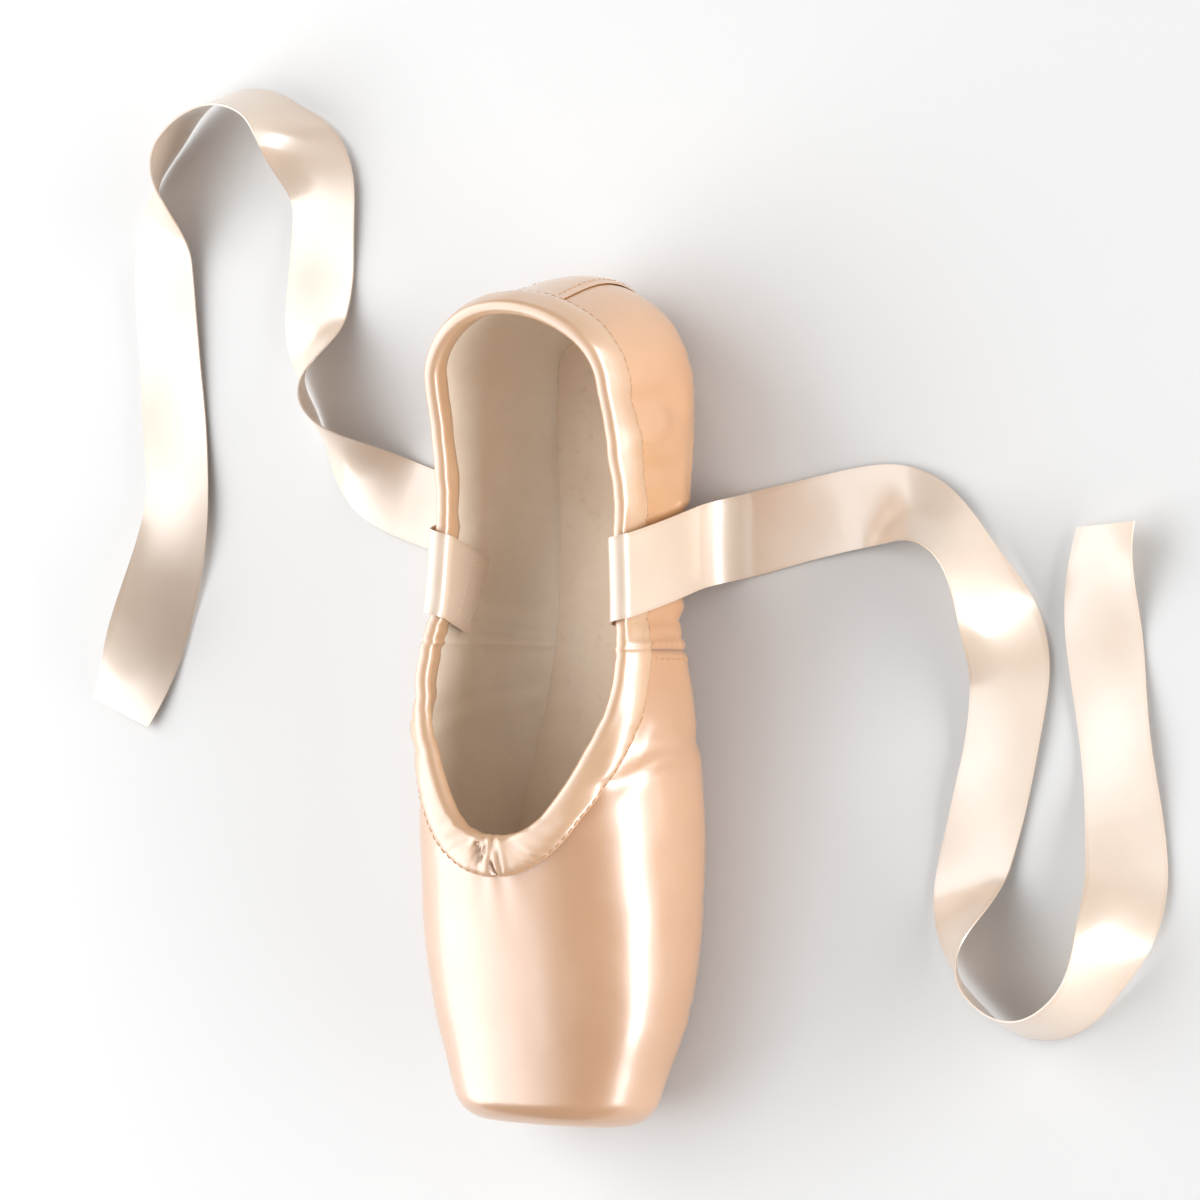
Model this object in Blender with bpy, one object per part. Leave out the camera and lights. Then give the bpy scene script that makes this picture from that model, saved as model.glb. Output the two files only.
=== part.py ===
"""Pointe shoe standing flat and empty on its sole, with its two ribbons laid out.

Metres, +Z up. The floor is z = 0, the toe points along -Y and the heel along +Y.
The origin lies on the floor under the ball of the foot. The shoe has no left or
right foot, so everything but the ribbons is the same on both sides of x = 0.
"""

from collections import namedtuple

import bmesh
import bpy
import math
import numpy as np

# Driving dimensions of the last
LENGTH = 0.232
BALL_WIDTH = 0.082
HEEL_WIDTH = 0.063
BALL_FROM_TOE = 0.072
VAMP_LENGTH = 0.077
THROAT_HEIGHT = 0.0575
QUARTER_HEIGHT = 0.043
HEEL_HEIGHT = 0.0595
ANKLE_HEIGHT = 0.095
WIDEST_LEVEL = 0.021
HEEL_BACK = 0.029
HEEL_LEAN = 0.006
PLATFORM_WIDTH = 0.056
PLATFORM_TOP = 0.041
RIM_RADIUS = 0.007
TOE_SPRING = 0.0025
ARCH_LIFT = 0.004

# Where the last is level and where its walls change. The first two are shares of
# BALL_FROM_TOE, the third of HEEL_BACK, the fourth of the outsole's half width at the
# platform, and the last two of BALL_WIDTH.
BALL_LEVEL_START = 0.7
BALL_LEVEL_END = 1.3
HEEL_LEVEL_START = 0.5
PLATFORM_FLAT = 0.5
FAN_SETBACK = 0.1
BOX_FADE = 0.45

# Walls, layers and the clearance between pieces that touch
BOX_WALL = 0.003
QUARTER_WALL = 0.0019
SOLE_THICKNESS = 0.0025
INSOLE_THICKNESS = 0.0015
STRIP_THICKNESS = 0.0008
BINDING_THICKNESS = 0.0009
RIBBON_THICKNESS = 0.0008
GAP = 0.0003

# Outsole outline
SOLE_TOE_GAP = 0.022
SOLE_HEEL_GAP = 0.012
SOLE_BALL_WIDTH = 0.052
SOLE_WAIST_WIDTH = 0.025
SOLE_HEEL_WIDTH = 0.037
SOLE_TOE_ROUND = 0.026
SOLE_HEEL_ROUND = 0.012
SOLE_EDGE = 0.0006
OPENING_INSET = 0.006
PLUG_CLEAR = 0.0008

# Trim
BINDING_OUTSIDE = 0.009
BINDING_INSIDE = 0.006
BINDING_CROWN = 1.3
STRIP_WIDTH = 0.020
RIBBON_WIDTH = 0.022
RIBBON_LENGTH = 0.45
RIBBON_SEWN = 0.024
RIBBON_FROM_TOE = 0.150
RIBBON_SLANT = math.radians(14)
RIBBON_DROP_BEND = 0.012
RIBBON_CLEAR = 0.0008

# Powers of the rounded sections below and above the widest level
LOWER_POWER = 2.2
UPPER_POWER = 2.1

# Mesh fineness
LINES_A_SIDE = 42
ROWS = 16
STRIP_ROWS = 24
STRIP_LINES = 7
RIBBON_LINES = 4
HUNG_ROWS = 44
LAID_ROWS = 68
SOLE_TOE_STEPS = np.radians([7, 22, 38, 54, 72])
SOLE_HEEL_STEPS = np.radians([72, 48, 26, 8])
SOLE_MIDDLE_ROWS = 20
CORNER_WEIGHT = 0.022
STEEPEST = math.radians(88)
SHARP_EDGE = math.radians(50)

HEEL_AXIS = LENGTH - HEEL_BACK
FAN_AXIS = VAMP_LENGTH + FAN_SETBACK * BALL_WIDTH
SOLE_START = SOLE_TOE_GAP
SOLE_END = LENGTH - SOLE_HEEL_GAP

# The last from toe to throat. along: share of the vamp length; width: share of the
# way from platform to ball width; crown: share of the way from platform top to throat.
Forepart = namedtuple("Forepart", "along width crown")
FOREPART = (
    Forepart(along=0.00, width=0.00, crown=0.00),
    Forepart(along=0.20, width=0.38, crown=0.17),
    Forepart(along=0.39, width=0.73, crown=0.36),
    Forepart(along=0.60, width=0.93, crown=0.60),
    Forepart(along=0.80, width=1.00, crown=0.81),
    Forepart(along=1.00, width=1.00, crown=1.00),
)

# The last behind the throat. along: share of the way from throat to heel axis; width:
# share of the way from ball to heel width; crown: share of the way from throat to ankle.
Backpart = namedtuple("Backpart", "along width crown")
BACKPART = (
    Backpart(along=0.18, width=0.15, crown=0.09),
    Backpart(along=0.35, width=0.46, crown=0.42),
    Backpart(along=0.54, width=0.86, crown=0.74),
    Backpart(along=0.72, width=1.00, crown=0.90),
    Backpart(along=1.00, width=1.00, crown=1.00),
)

# The collar edge. along: share of the way from throat to heel; front and back: shares of
# the rise from the quarter height to the throat and to the heel.
Collar = namedtuple("Collar", "along front back")
COLLAR = (
    Collar(along=0.00, front=1.00, back=0.00),
    Collar(along=0.07, front=0.83, back=0.00),
    Collar(along=0.15, front=0.60, back=0.00),
    Collar(along=0.28, front=0.24, back=0.00),
    Collar(along=0.44, front=0.00, back=0.00),
    Collar(along=0.57, front=0.00, back=0.04),
    Collar(along=0.70, front=0.00, back=0.27),
    Collar(along=0.83, front=0.00, back=0.66),
    Collar(along=0.94, front=0.00, back=0.94),
    Collar(along=1.00, front=0.00, back=1.00),
)

# The outsole. along: share of its length; ball and heel: shares of the step from waist
# width to ball width and to heel width.
SoleRow = namedtuple("SoleRow", "along ball heel")
SOLE = (
    SoleRow(along=0.00, ball=0.78, heel=0.00),
    SoleRow(along=0.10, ball=0.94, heel=0.00),
    SoleRow(along=0.20, ball=1.00, heel=0.00),
    SoleRow(along=0.30, ball=0.93, heel=0.00),
    SoleRow(along=0.45, ball=0.40, heel=0.00),
    SoleRow(along=0.60, ball=0.00, heel=0.04),
    SoleRow(along=0.70, ball=0.00, heel=0.25),
    SoleRow(along=0.84, ball=0.00, heel=0.90),
    SoleRow(along=1.00, ball=0.00, heel=1.00),
)

# How the ribbons run on the floor. along: share of the stretch on the floor; heading:
# degrees toward the heel from the way they leave the shoe; tilt: degrees that they lean.
Bend = namedtuple("Bend", "along heading tilt")
LEFT_BENDS = (
    Bend(along=0.00, heading=0, tilt=0),
    Bend(along=0.06, heading=-3, tilt=0),
    Bend(along=0.19, heading=-64, tilt=-70),
    Bend(along=0.30, heading=-112, tilt=-10),
    Bend(along=0.36, heading=-116, tilt=0),
    Bend(along=0.42, heading=-118, tilt=0),
    Bend(along=0.54, heading=-56, tilt=74),
    Bend(along=0.64, heading=36, tilt=76),
    Bend(along=0.75, heading=84, tilt=10),
    Bend(along=0.82, heading=87, tilt=0),
    Bend(along=0.90, heading=84, tilt=0),
    Bend(along=1.00, heading=62, tilt=-20),
)
RIGHT_BENDS = (
    Bend(along=0.00, heading=0, tilt=0),
    Bend(along=0.04, heading=5, tilt=0),
    Bend(along=0.15, heading=52, tilt=64),
    Bend(along=0.23, heading=76, tilt=6),
    Bend(along=0.27, heading=77, tilt=0),
    Bend(along=0.31, heading=76, tilt=0),
    Bend(along=0.41, heading=14, tilt=-74),
    Bend(along=0.51, heading=-66, tilt=-74),
    Bend(along=0.62, heading=-106, tilt=-8),
    Bend(along=0.70, heading=-111, tilt=0),
    Bend(along=0.78, heading=-112, tilt=0),
    Bend(along=0.90, heading=-88, tilt=36),
    Bend(along=1.00, heading=-66, tilt=4),
)

# Colours of the pieces: red, green, blue
SATIN = (0.79, 0.58, 0.43)
SATIN_PALE = (0.86, 0.70, 0.56)
LEATHER = (0.70, 0.48, 0.36)
LINING = (0.80, 0.72, 0.60)


def smooth_curve(stations, values, at):
    """A curve through a table's rows with no overshoot, held level past its ends."""
    stations = np.asarray(stations, float)
    values = np.asarray(values, float)
    widths = np.diff(stations)
    slopes = np.diff(values) / widths
    tangents = np.zeros_like(values)
    tangents[0] = slopes[0]
    tangents[-1] = slopes[-1]
    same_way = slopes[:-1] * slopes[1:] > 0
    blend = 2 * slopes[:-1] * slopes[1:] / np.where(same_way, slopes[:-1] + slopes[1:], 1)
    tangents[1:-1] = np.where(same_way, blend, 0)
    at = np.clip(at, stations[0], stations[-1])
    i = np.clip(np.searchsorted(stations, at, side="right") - 1, 0, len(widths) - 1)
    t = (at - stations[i]) / widths[i]
    rise = values[i] * (1 + 2 * t) * (1 - t) ** 2 + values[i + 1] * t * t * (3 - 2 * t)
    lean = tangents[i] * t * (1 - t) ** 2 - tangents[i + 1] * t * t * (1 - t)
    return rise + lean * widths[i]


def ease(t):
    """A smooth step from 0 to 1 as t goes from 0 to 1."""
    t = np.clip(t, 0, 1)
    return t * t * (3 - 2 * t)


def last_stations():
    """Distance from the toe, half width and crown height at each row of the last."""
    rows = []
    for row in FOREPART:
        width = PLATFORM_WIDTH + row.width * (BALL_WIDTH - PLATFORM_WIDTH)
        crown = PLATFORM_TOP + row.crown * (THROAT_HEIGHT - PLATFORM_TOP)
        rows.append((row.along * VAMP_LENGTH, width / 2, crown))
    for row in BACKPART:
        along = VAMP_LENGTH + row.along * (HEEL_AXIS - VAMP_LENGTH)
        width = BALL_WIDTH + row.width * (HEEL_WIDTH - BALL_WIDTH)
        crown = THROAT_HEIGHT + row.crown * (ANKLE_HEIGHT - THROAT_HEIGHT)
        rows.append((along, width / 2, crown))
    return np.array(rows)


STATIONS = last_stations()


def half_width(s):
    return smooth_curve(STATIONS[:, 0], STATIONS[:, 1], s)


def crown_height(s):
    return smooth_curve(STATIONS[:, 0], STATIONS[:, 2], s)


def collar_height(s):
    """Height of the collar edge, rising out of the way in front of the throat."""
    along = [VAMP_LENGTH + row.along * (LENGTH - VAMP_LENGTH) for row in COLLAR]
    front_rise = THROAT_HEIGHT - QUARTER_HEIGHT
    back_rise = HEEL_HEIGHT - QUARTER_HEIGHT
    heights = [QUARTER_HEIGHT + row.front * front_rise + row.back * back_rise for row in COLLAR]
    return smooth_curve(along, heights, s) + np.maximum(VAMP_LENGTH - s, 0)


def sole_lift(s):
    """Underside of the outsole above the floor: level at ball and heel."""
    ball_start = BALL_LEVEL_START * BALL_FROM_TOE
    ball_end = BALL_LEVEL_END * BALL_FROM_TOE
    heel_start = HEEL_AXIS - HEEL_LEVEL_START * HEEL_BACK
    toe = TOE_SPRING * (np.maximum(ball_start - s, 0) / ball_start) ** 2
    span = np.clip((s - ball_end) / (heel_start - ball_end), 0, 1)
    return toe + ARCH_LIFT * np.sin(math.pi * span) ** 2


def last_bottom(s):
    return sole_lift(s) + SOLE_THICKNESS + GAP


def sole_half_width(s):
    """Half width of the outsole before its ends are rounded."""
    along = [SOLE_START + row.along * (SOLE_END - SOLE_START) for row in SOLE]
    ball_step = SOLE_BALL_WIDTH - SOLE_WAIST_WIDTH
    heel_step = SOLE_HEEL_WIDTH - SOLE_WAIST_WIDTH
    widths = [SOLE_WAIST_WIDTH + row.ball * ball_step + row.heel * heel_step for row in SOLE]
    return smooth_curve(along, widths, s) / 2


def flat_half_width(s):
    """Half width of the level underside of the last, narrower toward the platform."""
    level = sole_half_width(s) + 2 * SOLE_EDGE
    behind = ease(s / (SOLE_START + SOLE_TOE_ROUND / 2))
    return level * (PLATFORM_FLAT + (1 - PLATFORM_FLAT) * behind)


def wall_thickness(s):
    """The stiff box is thicker than the soft quarters."""
    soft = ease((s - FAN_AXIS) / (BOX_FADE * BALL_WIDTH))
    return BOX_WALL + soft * (QUARTER_WALL - BOX_WALL)


def last_gap(x, s, z):
    """Distance outside the last's outer surface, negative inside, s from the toe."""
    at = np.minimum(s, HEEL_AXIS)
    half = half_width(at)
    crown = crown_height(at)
    bottom = last_bottom(at)
    flat = flat_half_width(at)
    lean = HEEL_LEAN * ease((z - WIDEST_LEVEL) / (HEEL_HEIGHT - WIDEST_LEVEL))
    back = np.maximum(s - HEEL_AXIS, 0) * (HEEL_WIDTH / 2) / (HEEL_BACK - lean)
    across = np.hypot(x, back)
    low = z < WIDEST_LEVEL
    side = np.where(low, np.maximum(across - flat, 0) / (half - flat), across / half)
    tall = np.where(low, (WIDEST_LEVEL - z) / (WIDEST_LEVEL - bottom),
                    (z - WIDEST_LEVEL) / (crown - WIDEST_LEVEL))
    power = np.where(low, LOWER_POWER, UPPER_POWER)
    reach = np.maximum((side ** power + tall ** power) ** (1 / power), 1e-6)
    beside = np.where(low, np.maximum(across - flat, 0), across)
    wall = np.hypot(beside, z - WIDEST_LEVEL) * (reach - 1) / reach
    toe = -s
    edge = np.hypot(np.maximum(wall + RIM_RADIUS, 0), np.maximum(toe + RIM_RADIUS, 0))
    return np.minimum(-RIM_RADIUS, np.maximum(wall, toe)) + edge


def last_normal(points):
    """Outward direction of the last's surface at each point."""
    step = 2e-5
    normal = np.empty_like(points)
    for axis in range(3):
        ahead = points.copy()
        behind = points.copy()
        ahead[..., axis] += step
        behind[..., axis] -= step
        normal[..., axis] = last_gap(*np.moveaxis(ahead, -1, 0)) - last_gap(*np.moveaxis(behind, -1, 0))
    return normal / np.linalg.norm(normal, axis=-1, keepdims=True)


def bisect(outside, low, high, rounds=44):
    """The value between low and high where outside(value) turns true."""
    low = np.array(low, float)
    high = np.array(high, float)
    for _ in range(rounds):
        middle = (low + high) / 2
        out = outside(middle)
        high = np.where(out, middle, high)
        low = np.where(out, low, middle)
    return (low + high) / 2


def along_ray(base, aim, rise, reach):
    """Points at a distance along rays; base and aim are per line, in x, s."""
    flat = reach * np.cos(rise)
    x = base[..., 0] + flat * aim[..., 0]
    s = base[..., 1] + flat * aim[..., 1]
    z = WIDEST_LEVEL + reach * np.sin(rise)
    return np.stack([x, s, z], axis=-1)


def surface_hit(base, aim, rise):
    """Where each ray from inside the last meets its outer surface."""
    def outside(reach):
        return last_gap(*np.moveaxis(along_ray(base, aim, rise, reach), -1, 0)) > 0
    reach = bisect(outside, np.zeros_like(rise), np.full_like(rise, LENGTH))
    return along_ray(base, aim, rise, reach)


def collar_rise(base, aim):
    """The steepest ray of each line that still meets the upper, at the collar edge."""
    def outside(rise):
        hit = surface_hit(base, aim, rise)
        return hit[..., 2] > collar_height(hit[..., 1])
    lines = base.shape[0]
    return bisect(outside, np.zeros(lines), np.full(lines, STEEPEST))


def outline_half_width(s, inset):
    """Half width of the outsole's outline drawn in by inset, ends rounded."""
    toe = np.clip((s - SOLE_START - inset) / (SOLE_TOE_ROUND - inset), 0, 1)
    heel = np.clip((SOLE_END - inset - s) / (SOLE_HEEL_ROUND - inset), 0, 1)
    corners = np.sqrt(1 - (1 - toe) ** 2) * np.sqrt(1 - (1 - heel) ** 2)
    return (sole_half_width(s) - inset) * corners


def underside_rise(base, aim, inset):
    """The ray of each line that meets the outsole's outline, drawn in by inset."""
    def outside(reach):
        s = base[..., 1] + reach * aim[..., 1]
        x = base[..., 0] + reach * aim[..., 0]
        return np.abs(x) >= outline_half_width(s, inset)
    reach = bisect(outside, np.zeros(len(base)), np.full(len(base), LENGTH))
    drop = last_bottom(base[..., 1] + reach * aim[..., 1]) - WIDEST_LEVEL
    return np.arctan2(drop, reach)


def spine(turn):
    """Base and direction of the upper's lines: fans at throat and heel, straight between."""
    toe_angle = np.clip(turn, 0, 1) * math.pi / 2
    heel_angle = np.clip(turn - 2, 0, 1) * math.pi / 2
    middle = np.clip(turn - 1, 0, 1)
    s = FAN_AXIS + middle * (HEEL_AXIS - FAN_AXIS)
    base = np.stack([np.zeros_like(turn), s], axis=-1)
    aim_x = np.sin(toe_angle) * np.cos(heel_angle)
    aim_s = np.sin(heel_angle) - np.cos(toe_angle)
    return base, np.stack([aim_x, aim_s], axis=-1)


def even_share(points, count, corner_weight):
    """Places along a polyline, spaced evenly by length plus weighted turning."""
    steps = np.diff(points, axis=0)
    length = np.linalg.norm(steps, axis=-1)
    ways = steps / np.maximum(length, 1e-9)[:, None]
    turning = np.zeros(len(length))
    turning[1:] = np.arccos(np.clip((ways[1:] * ways[:-1]).sum(axis=-1), -1, 1))
    total = np.concatenate([[0], np.cumsum(length + corner_weight * turning)])
    return np.interp(np.linspace(0, total[-1], count), total, np.arange(len(points)))


def line_turns(count):
    """Turns of the upper's lines on one side, from toe centre to heel centre."""
    dense = np.linspace(0, 3, 900)
    base, aim = spine(dense)
    outline = surface_hit(base, aim, np.zeros(len(dense)))
    places = even_share(outline, count + 1, CORNER_WEIGHT)
    return np.interp(places, np.arange(len(dense)), dense)


def mirrored_lines(count):
    """Base and direction of all lines, round the shoe from the toe by the +X side."""
    base, aim = spine(line_turns(count))
    other_aim = aim[-2:0:-1] * np.array([-1, 1])
    return np.concatenate([base, base[-2:0:-1]]), np.concatenate([aim, other_aim])


def line_samples(base, aim, lowest, highest, count=320):
    """Dense points and their rises along each line, from the lowest ray to the highest."""
    share = np.linspace(0, 1, count)
    rise = lowest[:, None] + (highest - lowest)[:, None] * share
    wide_base = np.repeat(base[:, None], count, axis=1)
    wide_aim = np.repeat(aim[:, None], count, axis=1)
    return surface_hit(wide_base, wide_aim, rise), rise


def hit_rows(base, aim, rise):
    """Surface points for a table of rises with one row for each line."""
    wide_base = np.repeat(base[:, None], rise.shape[1], axis=1)
    wide_aim = np.repeat(aim[:, None], rise.shape[1], axis=1)
    return surface_hit(wide_base, wide_aim, rise)


def upper_grid(base, aim):
    """Outer surface of the upper, from its opening underneath to the collar edge."""
    opening = underside_rise(base, aim, OPENING_INSET)
    sole_edge = underside_rise(base, aim, -SOLE_EDGE)
    points, rise = line_samples(base, aim, sole_edge, collar_rise(base, aim))
    rows = []
    for line, angles, lowest in zip(points, rise, opening):
        places = even_share(line, ROWS - 1, CORNER_WEIGHT)
        rows.append([lowest, *np.interp(places, np.arange(len(angles)), angles)])
    return hit_rows(base, aim, np.array(rows))


def collar_frames(base, aim, depths):
    """Points and normals at depths below the collar edge, and the way up at the edge."""
    top = collar_rise(base, aim)
    below = math.radians(60)
    points, rise = line_samples(base, aim, top - below, top)
    lengths = np.linalg.norm(np.diff(points, axis=1), axis=-1)
    depth = np.concatenate([np.cumsum(lengths[:, ::-1], axis=1)[:, ::-1], np.zeros((len(top), 1))], axis=1)
    angles = [np.interp(depths, d[::-1], r[::-1]) for d, r in zip(depth, rise)]
    hits = hit_rows(base, aim, np.array(angles))
    way_up = points[:, -1] - points[:, -4]
    return hits, last_normal(hits), way_up / np.linalg.norm(way_up, axis=-1, keepdims=True)


def to_world(points):
    """From distance behind the toe to the part's own frame."""
    return points - np.array([0, BALL_FROM_TOE, 0])


def new_object(name, vertices, faces, material):
    """A closed, smooth shaded object with its faces turned outward."""
    mesh = bpy.data.meshes.new(name)
    mesh.from_pydata([tuple(map(float, v)) for v in vertices], [], [tuple(map(int, f)) for f in faces])
    work = bmesh.new()
    work.from_mesh(mesh)
    bmesh.ops.recalc_face_normals(work, faces=work.faces)
    bmesh.ops.triangulate(work, faces=work.faces)
    work.to_mesh(mesh)
    work.free()
    mesh.shade_smooth()
    mesh.set_sharp_from_angle(angle=SHARP_EDGE)
    mesh.materials.append(material)
    obj = bpy.data.objects.new(name, mesh)
    bpy.context.collection.objects.link(obj)
    return obj


def grid_faces(lines, rows, offset, wrap_lines, wrap_rows):
    """Quads of a grid whose vertex numbers run along each line."""
    faces = []
    for i in range(lines if wrap_lines else lines - 1):
        for j in range(rows if wrap_rows else rows - 1):
            a, b = i * rows, ((i + 1) % lines) * rows
            k = (j + 1) % rows
            faces.append((offset + a + j, offset + b + j, offset + b + k, offset + a + k))
    return faces


def shell_object(name, outer, inner, wrap, material):
    """A closed wall between two grids of the same size, with its open edges closed."""
    lines, rows = outer.shape[:2]
    count = lines * rows
    faces = grid_faces(lines, rows, 0, wrap, False)
    faces += [face[::-1] for face in grid_faces(lines, rows, count, wrap, False)]
    for i in range(lines if wrap else lines - 1):
        for j in (0, rows - 1):
            a, b = i * rows + j, ((i + 1) % lines) * rows + j
            faces.append((a, b, count + b, count + a))
    if not wrap:
        for i in (0, lines - 1):
            for j in range(rows - 1):
                a, b = i * rows + j, i * rows + j + 1
                faces.append((a, b, count + b, count + a))
    vertices = np.concatenate([outer.reshape(-1, 3), inner.reshape(-1, 3)])
    return new_object(name, vertices, faces, material)


def outline_stations(inset):
    """Distances from the toe along an outline drawn in by inset, closer at its ends."""
    toe_round = SOLE_TOE_ROUND - inset
    heel_round = SOLE_HEEL_ROUND - inset
    toe = SOLE_START + inset + toe_round * (1 - np.cos(SOLE_TOE_STEPS))
    heel = SOLE_END - inset - heel_round * (1 - np.cos(SOLE_HEEL_STEPS))
    middle = np.linspace(SOLE_START + SOLE_TOE_ROUND, SOLE_END - SOLE_HEEL_ROUND, SOLE_MIDDLE_ROWS)
    return np.concatenate([toe, middle, heel])


def outline_ring(inset, height):
    """A closed ring of an outline, +X side toward the heel and back by the -X side."""
    s = outline_stations(inset)
    half = outline_half_width(s, inset)
    z = height(s)
    near = np.stack([half, s, z], axis=-1)
    return np.concatenate([near, (near * np.array([-1, 1, 1]))[::-1]])


def plate_object(name, rings, material):
    """A closed plate through rings stacked from bottom to top, first and last filled."""
    size = len(rings[0])
    stations = size // 2
    faces = []
    for level in range(len(rings) - 1):
        for i in range(size):
            a, b = level * size + i, level * size + (i + 1) % size
            faces.append((a, b, b + size, a + size))
    for offset in (0, (len(rings) - 1) * size):
        for i in range(stations - 1):
            faces.append((offset + i, offset + i + 1, offset + size - 2 - i, offset + size - 1 - i))
    return new_object(name, to_world(np.concatenate(rings)), faces, material)


def plain_material(name, colour, roughness):
    material = bpy.data.materials.new(name)
    material.use_nodes = True
    shader = material.node_tree.nodes["Principled BSDF"]
    shader.inputs["Base Color"].default_value = (*colour, 1)
    shader.inputs["Roughness"].default_value = roughness
    shader.inputs["Metallic"].default_value = 0
    return material


def make_upper(material):
    """The hollow upper, open at the collar and underneath."""
    base, aim = mirrored_lines(LINES_A_SIDE)
    outer = upper_grid(base, aim)
    wall = wall_thickness(outer[..., 1])[..., None]
    inner = outer - last_normal(outer) * wall
    shell_object("upper", to_world(outer), to_world(inner), True, material)


def make_binding(material):
    """The binding folded over the collar edge, longer outside than inside."""
    base, aim = mirrored_lines(LINES_A_SIDE)
    depths = np.array([0, BINDING_OUTSIDE / 2, BINDING_OUTSIDE, BINDING_INSIDE])
    points, normal, way_up = collar_frames(base, aim, depths)
    edge, middle, outside, inside = np.moveaxis(points, 1, 0)
    edge_n, middle_n, outside_n, inside_n = np.moveaxis(normal, 1, 0)
    wall = wall_thickness(edge[:, 1])[:, None]
    thick = GAP + BINDING_THICKNESS
    section = [
        outside + outside_n * thick,
        middle + middle_n * thick,
        edge + edge_n * thick,
        edge - edge_n * wall / 2 + way_up * thick * BINDING_CROWN,
        edge - edge_n * (wall + thick),
        inside - inside_n * (wall + thick),
        inside - inside_n * (wall + GAP),
        edge - edge_n * (wall + GAP) + way_up * GAP,
        edge + edge_n * GAP + way_up * GAP,
        middle + middle_n * GAP,
        outside + outside_n * GAP,
    ]
    grid = to_world(np.stack(section, axis=1))
    faces = grid_faces(len(base), len(section), 0, True, True)
    new_object("collar_binding", grid.reshape(-1, 3), faces, material)


def make_heel_strip(material):
    """The strip up the back seam, from the outsole's end to the binding."""
    x = np.linspace(-STRIP_WIDTH / 2, STRIP_WIDTH / 2, STRIP_LINES)
    base = np.stack([x, np.full_like(x, HEEL_AXIS)], axis=-1)
    aim = np.tile([0.0, 1.0], (len(x), 1))
    reach = SOLE_END + GAP - HEEL_AXIS
    low = np.full_like(x, math.atan2(last_bottom(LENGTH) - WIDEST_LEVEL, reach))
    points, rise = line_samples(base, aim, low, collar_rise(base, aim))
    rows = []
    for line, angles in zip(points, rise):
        steps = np.linalg.norm(np.diff(line, axis=0), axis=-1)
        depth = np.concatenate([np.cumsum(steps[::-1])[::-1], [0]])
        top = np.interp(BINDING_OUTSIDE + GAP, depth[::-1], np.arange(len(depth))[::-1])
        places = np.linspace(0, top, STRIP_ROWS)
        rows.append(np.interp(places, np.arange(len(angles)), angles))
    surface = hit_rows(base, aim, np.array(rows))
    normal = last_normal(surface)
    inner = surface + normal * GAP
    outer = surface + normal * (GAP + STRIP_THICKNESS)
    shell_object("heel_strip", to_world(outer), to_world(inner), False, material)


def make_outsole(material):
    """The leather outsole, level under ball and heel, its lower edge eased."""
    rings = [
        outline_ring(SOLE_EDGE, sole_lift),
        outline_ring(0, lambda s: sole_lift(s) + SOLE_EDGE),
        outline_ring(0, lambda s: sole_lift(s) + SOLE_THICKNESS),
    ]
    plate_object("outsole", rings, material)


def make_insole(material):
    """The insole, whose underside steps down into the upper's opening."""
    def seat(s):
        return last_bottom(s) + wall_thickness(s) + GAP
    rings = [
        outline_ring(OPENING_INSET + PLUG_CLEAR, last_bottom),
        outline_ring(OPENING_INSET + PLUG_CLEAR, seat),
        outline_ring(SOLE_EDGE, seat),
        outline_ring(SOLE_EDGE, lambda s: seat(s) + INSOLE_THICKNESS),
    ]
    plate_object("insole", rings, material)


def wall_half_width(s, z):
    """Half width of the shoe at a height, and its widest below the widest level."""
    tall = np.clip((z - WIDEST_LEVEL) / (crown_height(s) - WIDEST_LEVEL), 0, 1)
    return half_width(s) * (1 - tall ** UPPER_POWER) ** (1 / UPPER_POWER)


def ribbon_drop(s, run):
    """x and z of a ribbon over the collar and down to the floor, run from the edge."""
    clear = GAP + BINDING_THICKNESS + RIBBON_CLEAR + RIBBON_THICKNESS / 2
    floor = GAP + RIBBON_THICKNESS / 2
    edge_z = collar_height(s)
    edge_x = wall_half_width(s, edge_z)
    fold = wall_thickness(s) / 2 + clear
    quarter_turn = fold * math.pi / 2
    hang = np.maximum(run - quarter_turn, 0)
    fall = edge_z - floor - RIBBON_DROP_BEND
    bend = np.clip((hang - fall) / RIBBON_DROP_BEND, 0, math.pi / 2)
    lying = np.maximum(hang - fall - RIBBON_DROP_BEND * math.pi / 2, 0)
    hang_z = edge_z - np.minimum(hang, fall) - RIBBON_DROP_BEND * np.sin(bend)
    hang_x = wall_half_width(s, edge_z - np.minimum(hang, fall)) + clear
    hang_x = hang_x + RIBBON_DROP_BEND * (1 - np.cos(bend)) + lying
    inside_z = edge_z + np.minimum(run + quarter_turn, 0)
    inside_x = wall_half_width(s, inside_z) - wall_thickness(s) - clear
    angle = np.clip(run / fold, -math.pi / 2, math.pi / 2)
    over_x = edge_x - wall_thickness(s) / 2 + fold * np.sin(angle)
    over_z = edge_z + fold * np.cos(angle)
    x = np.where(run > quarter_turn, hang_x, np.where(run < -quarter_turn, inside_x, over_x))
    z = np.where(run > quarter_turn, hang_z, np.where(run < -quarter_turn, inside_z, over_z))
    return x, z


def ribbon_on_shoe(length, across):
    """Points of a ribbon that crosses the collar at a slant, for the +X side."""
    s = RIBBON_FROM_TOE + length * math.sin(RIBBON_SLANT) + across * math.cos(RIBBON_SLANT)
    x, z = ribbon_drop(s, length * math.cos(RIBBON_SLANT) - across * math.sin(RIBBON_SLANT))
    return np.stack([x, s, z], axis=-1)


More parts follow.
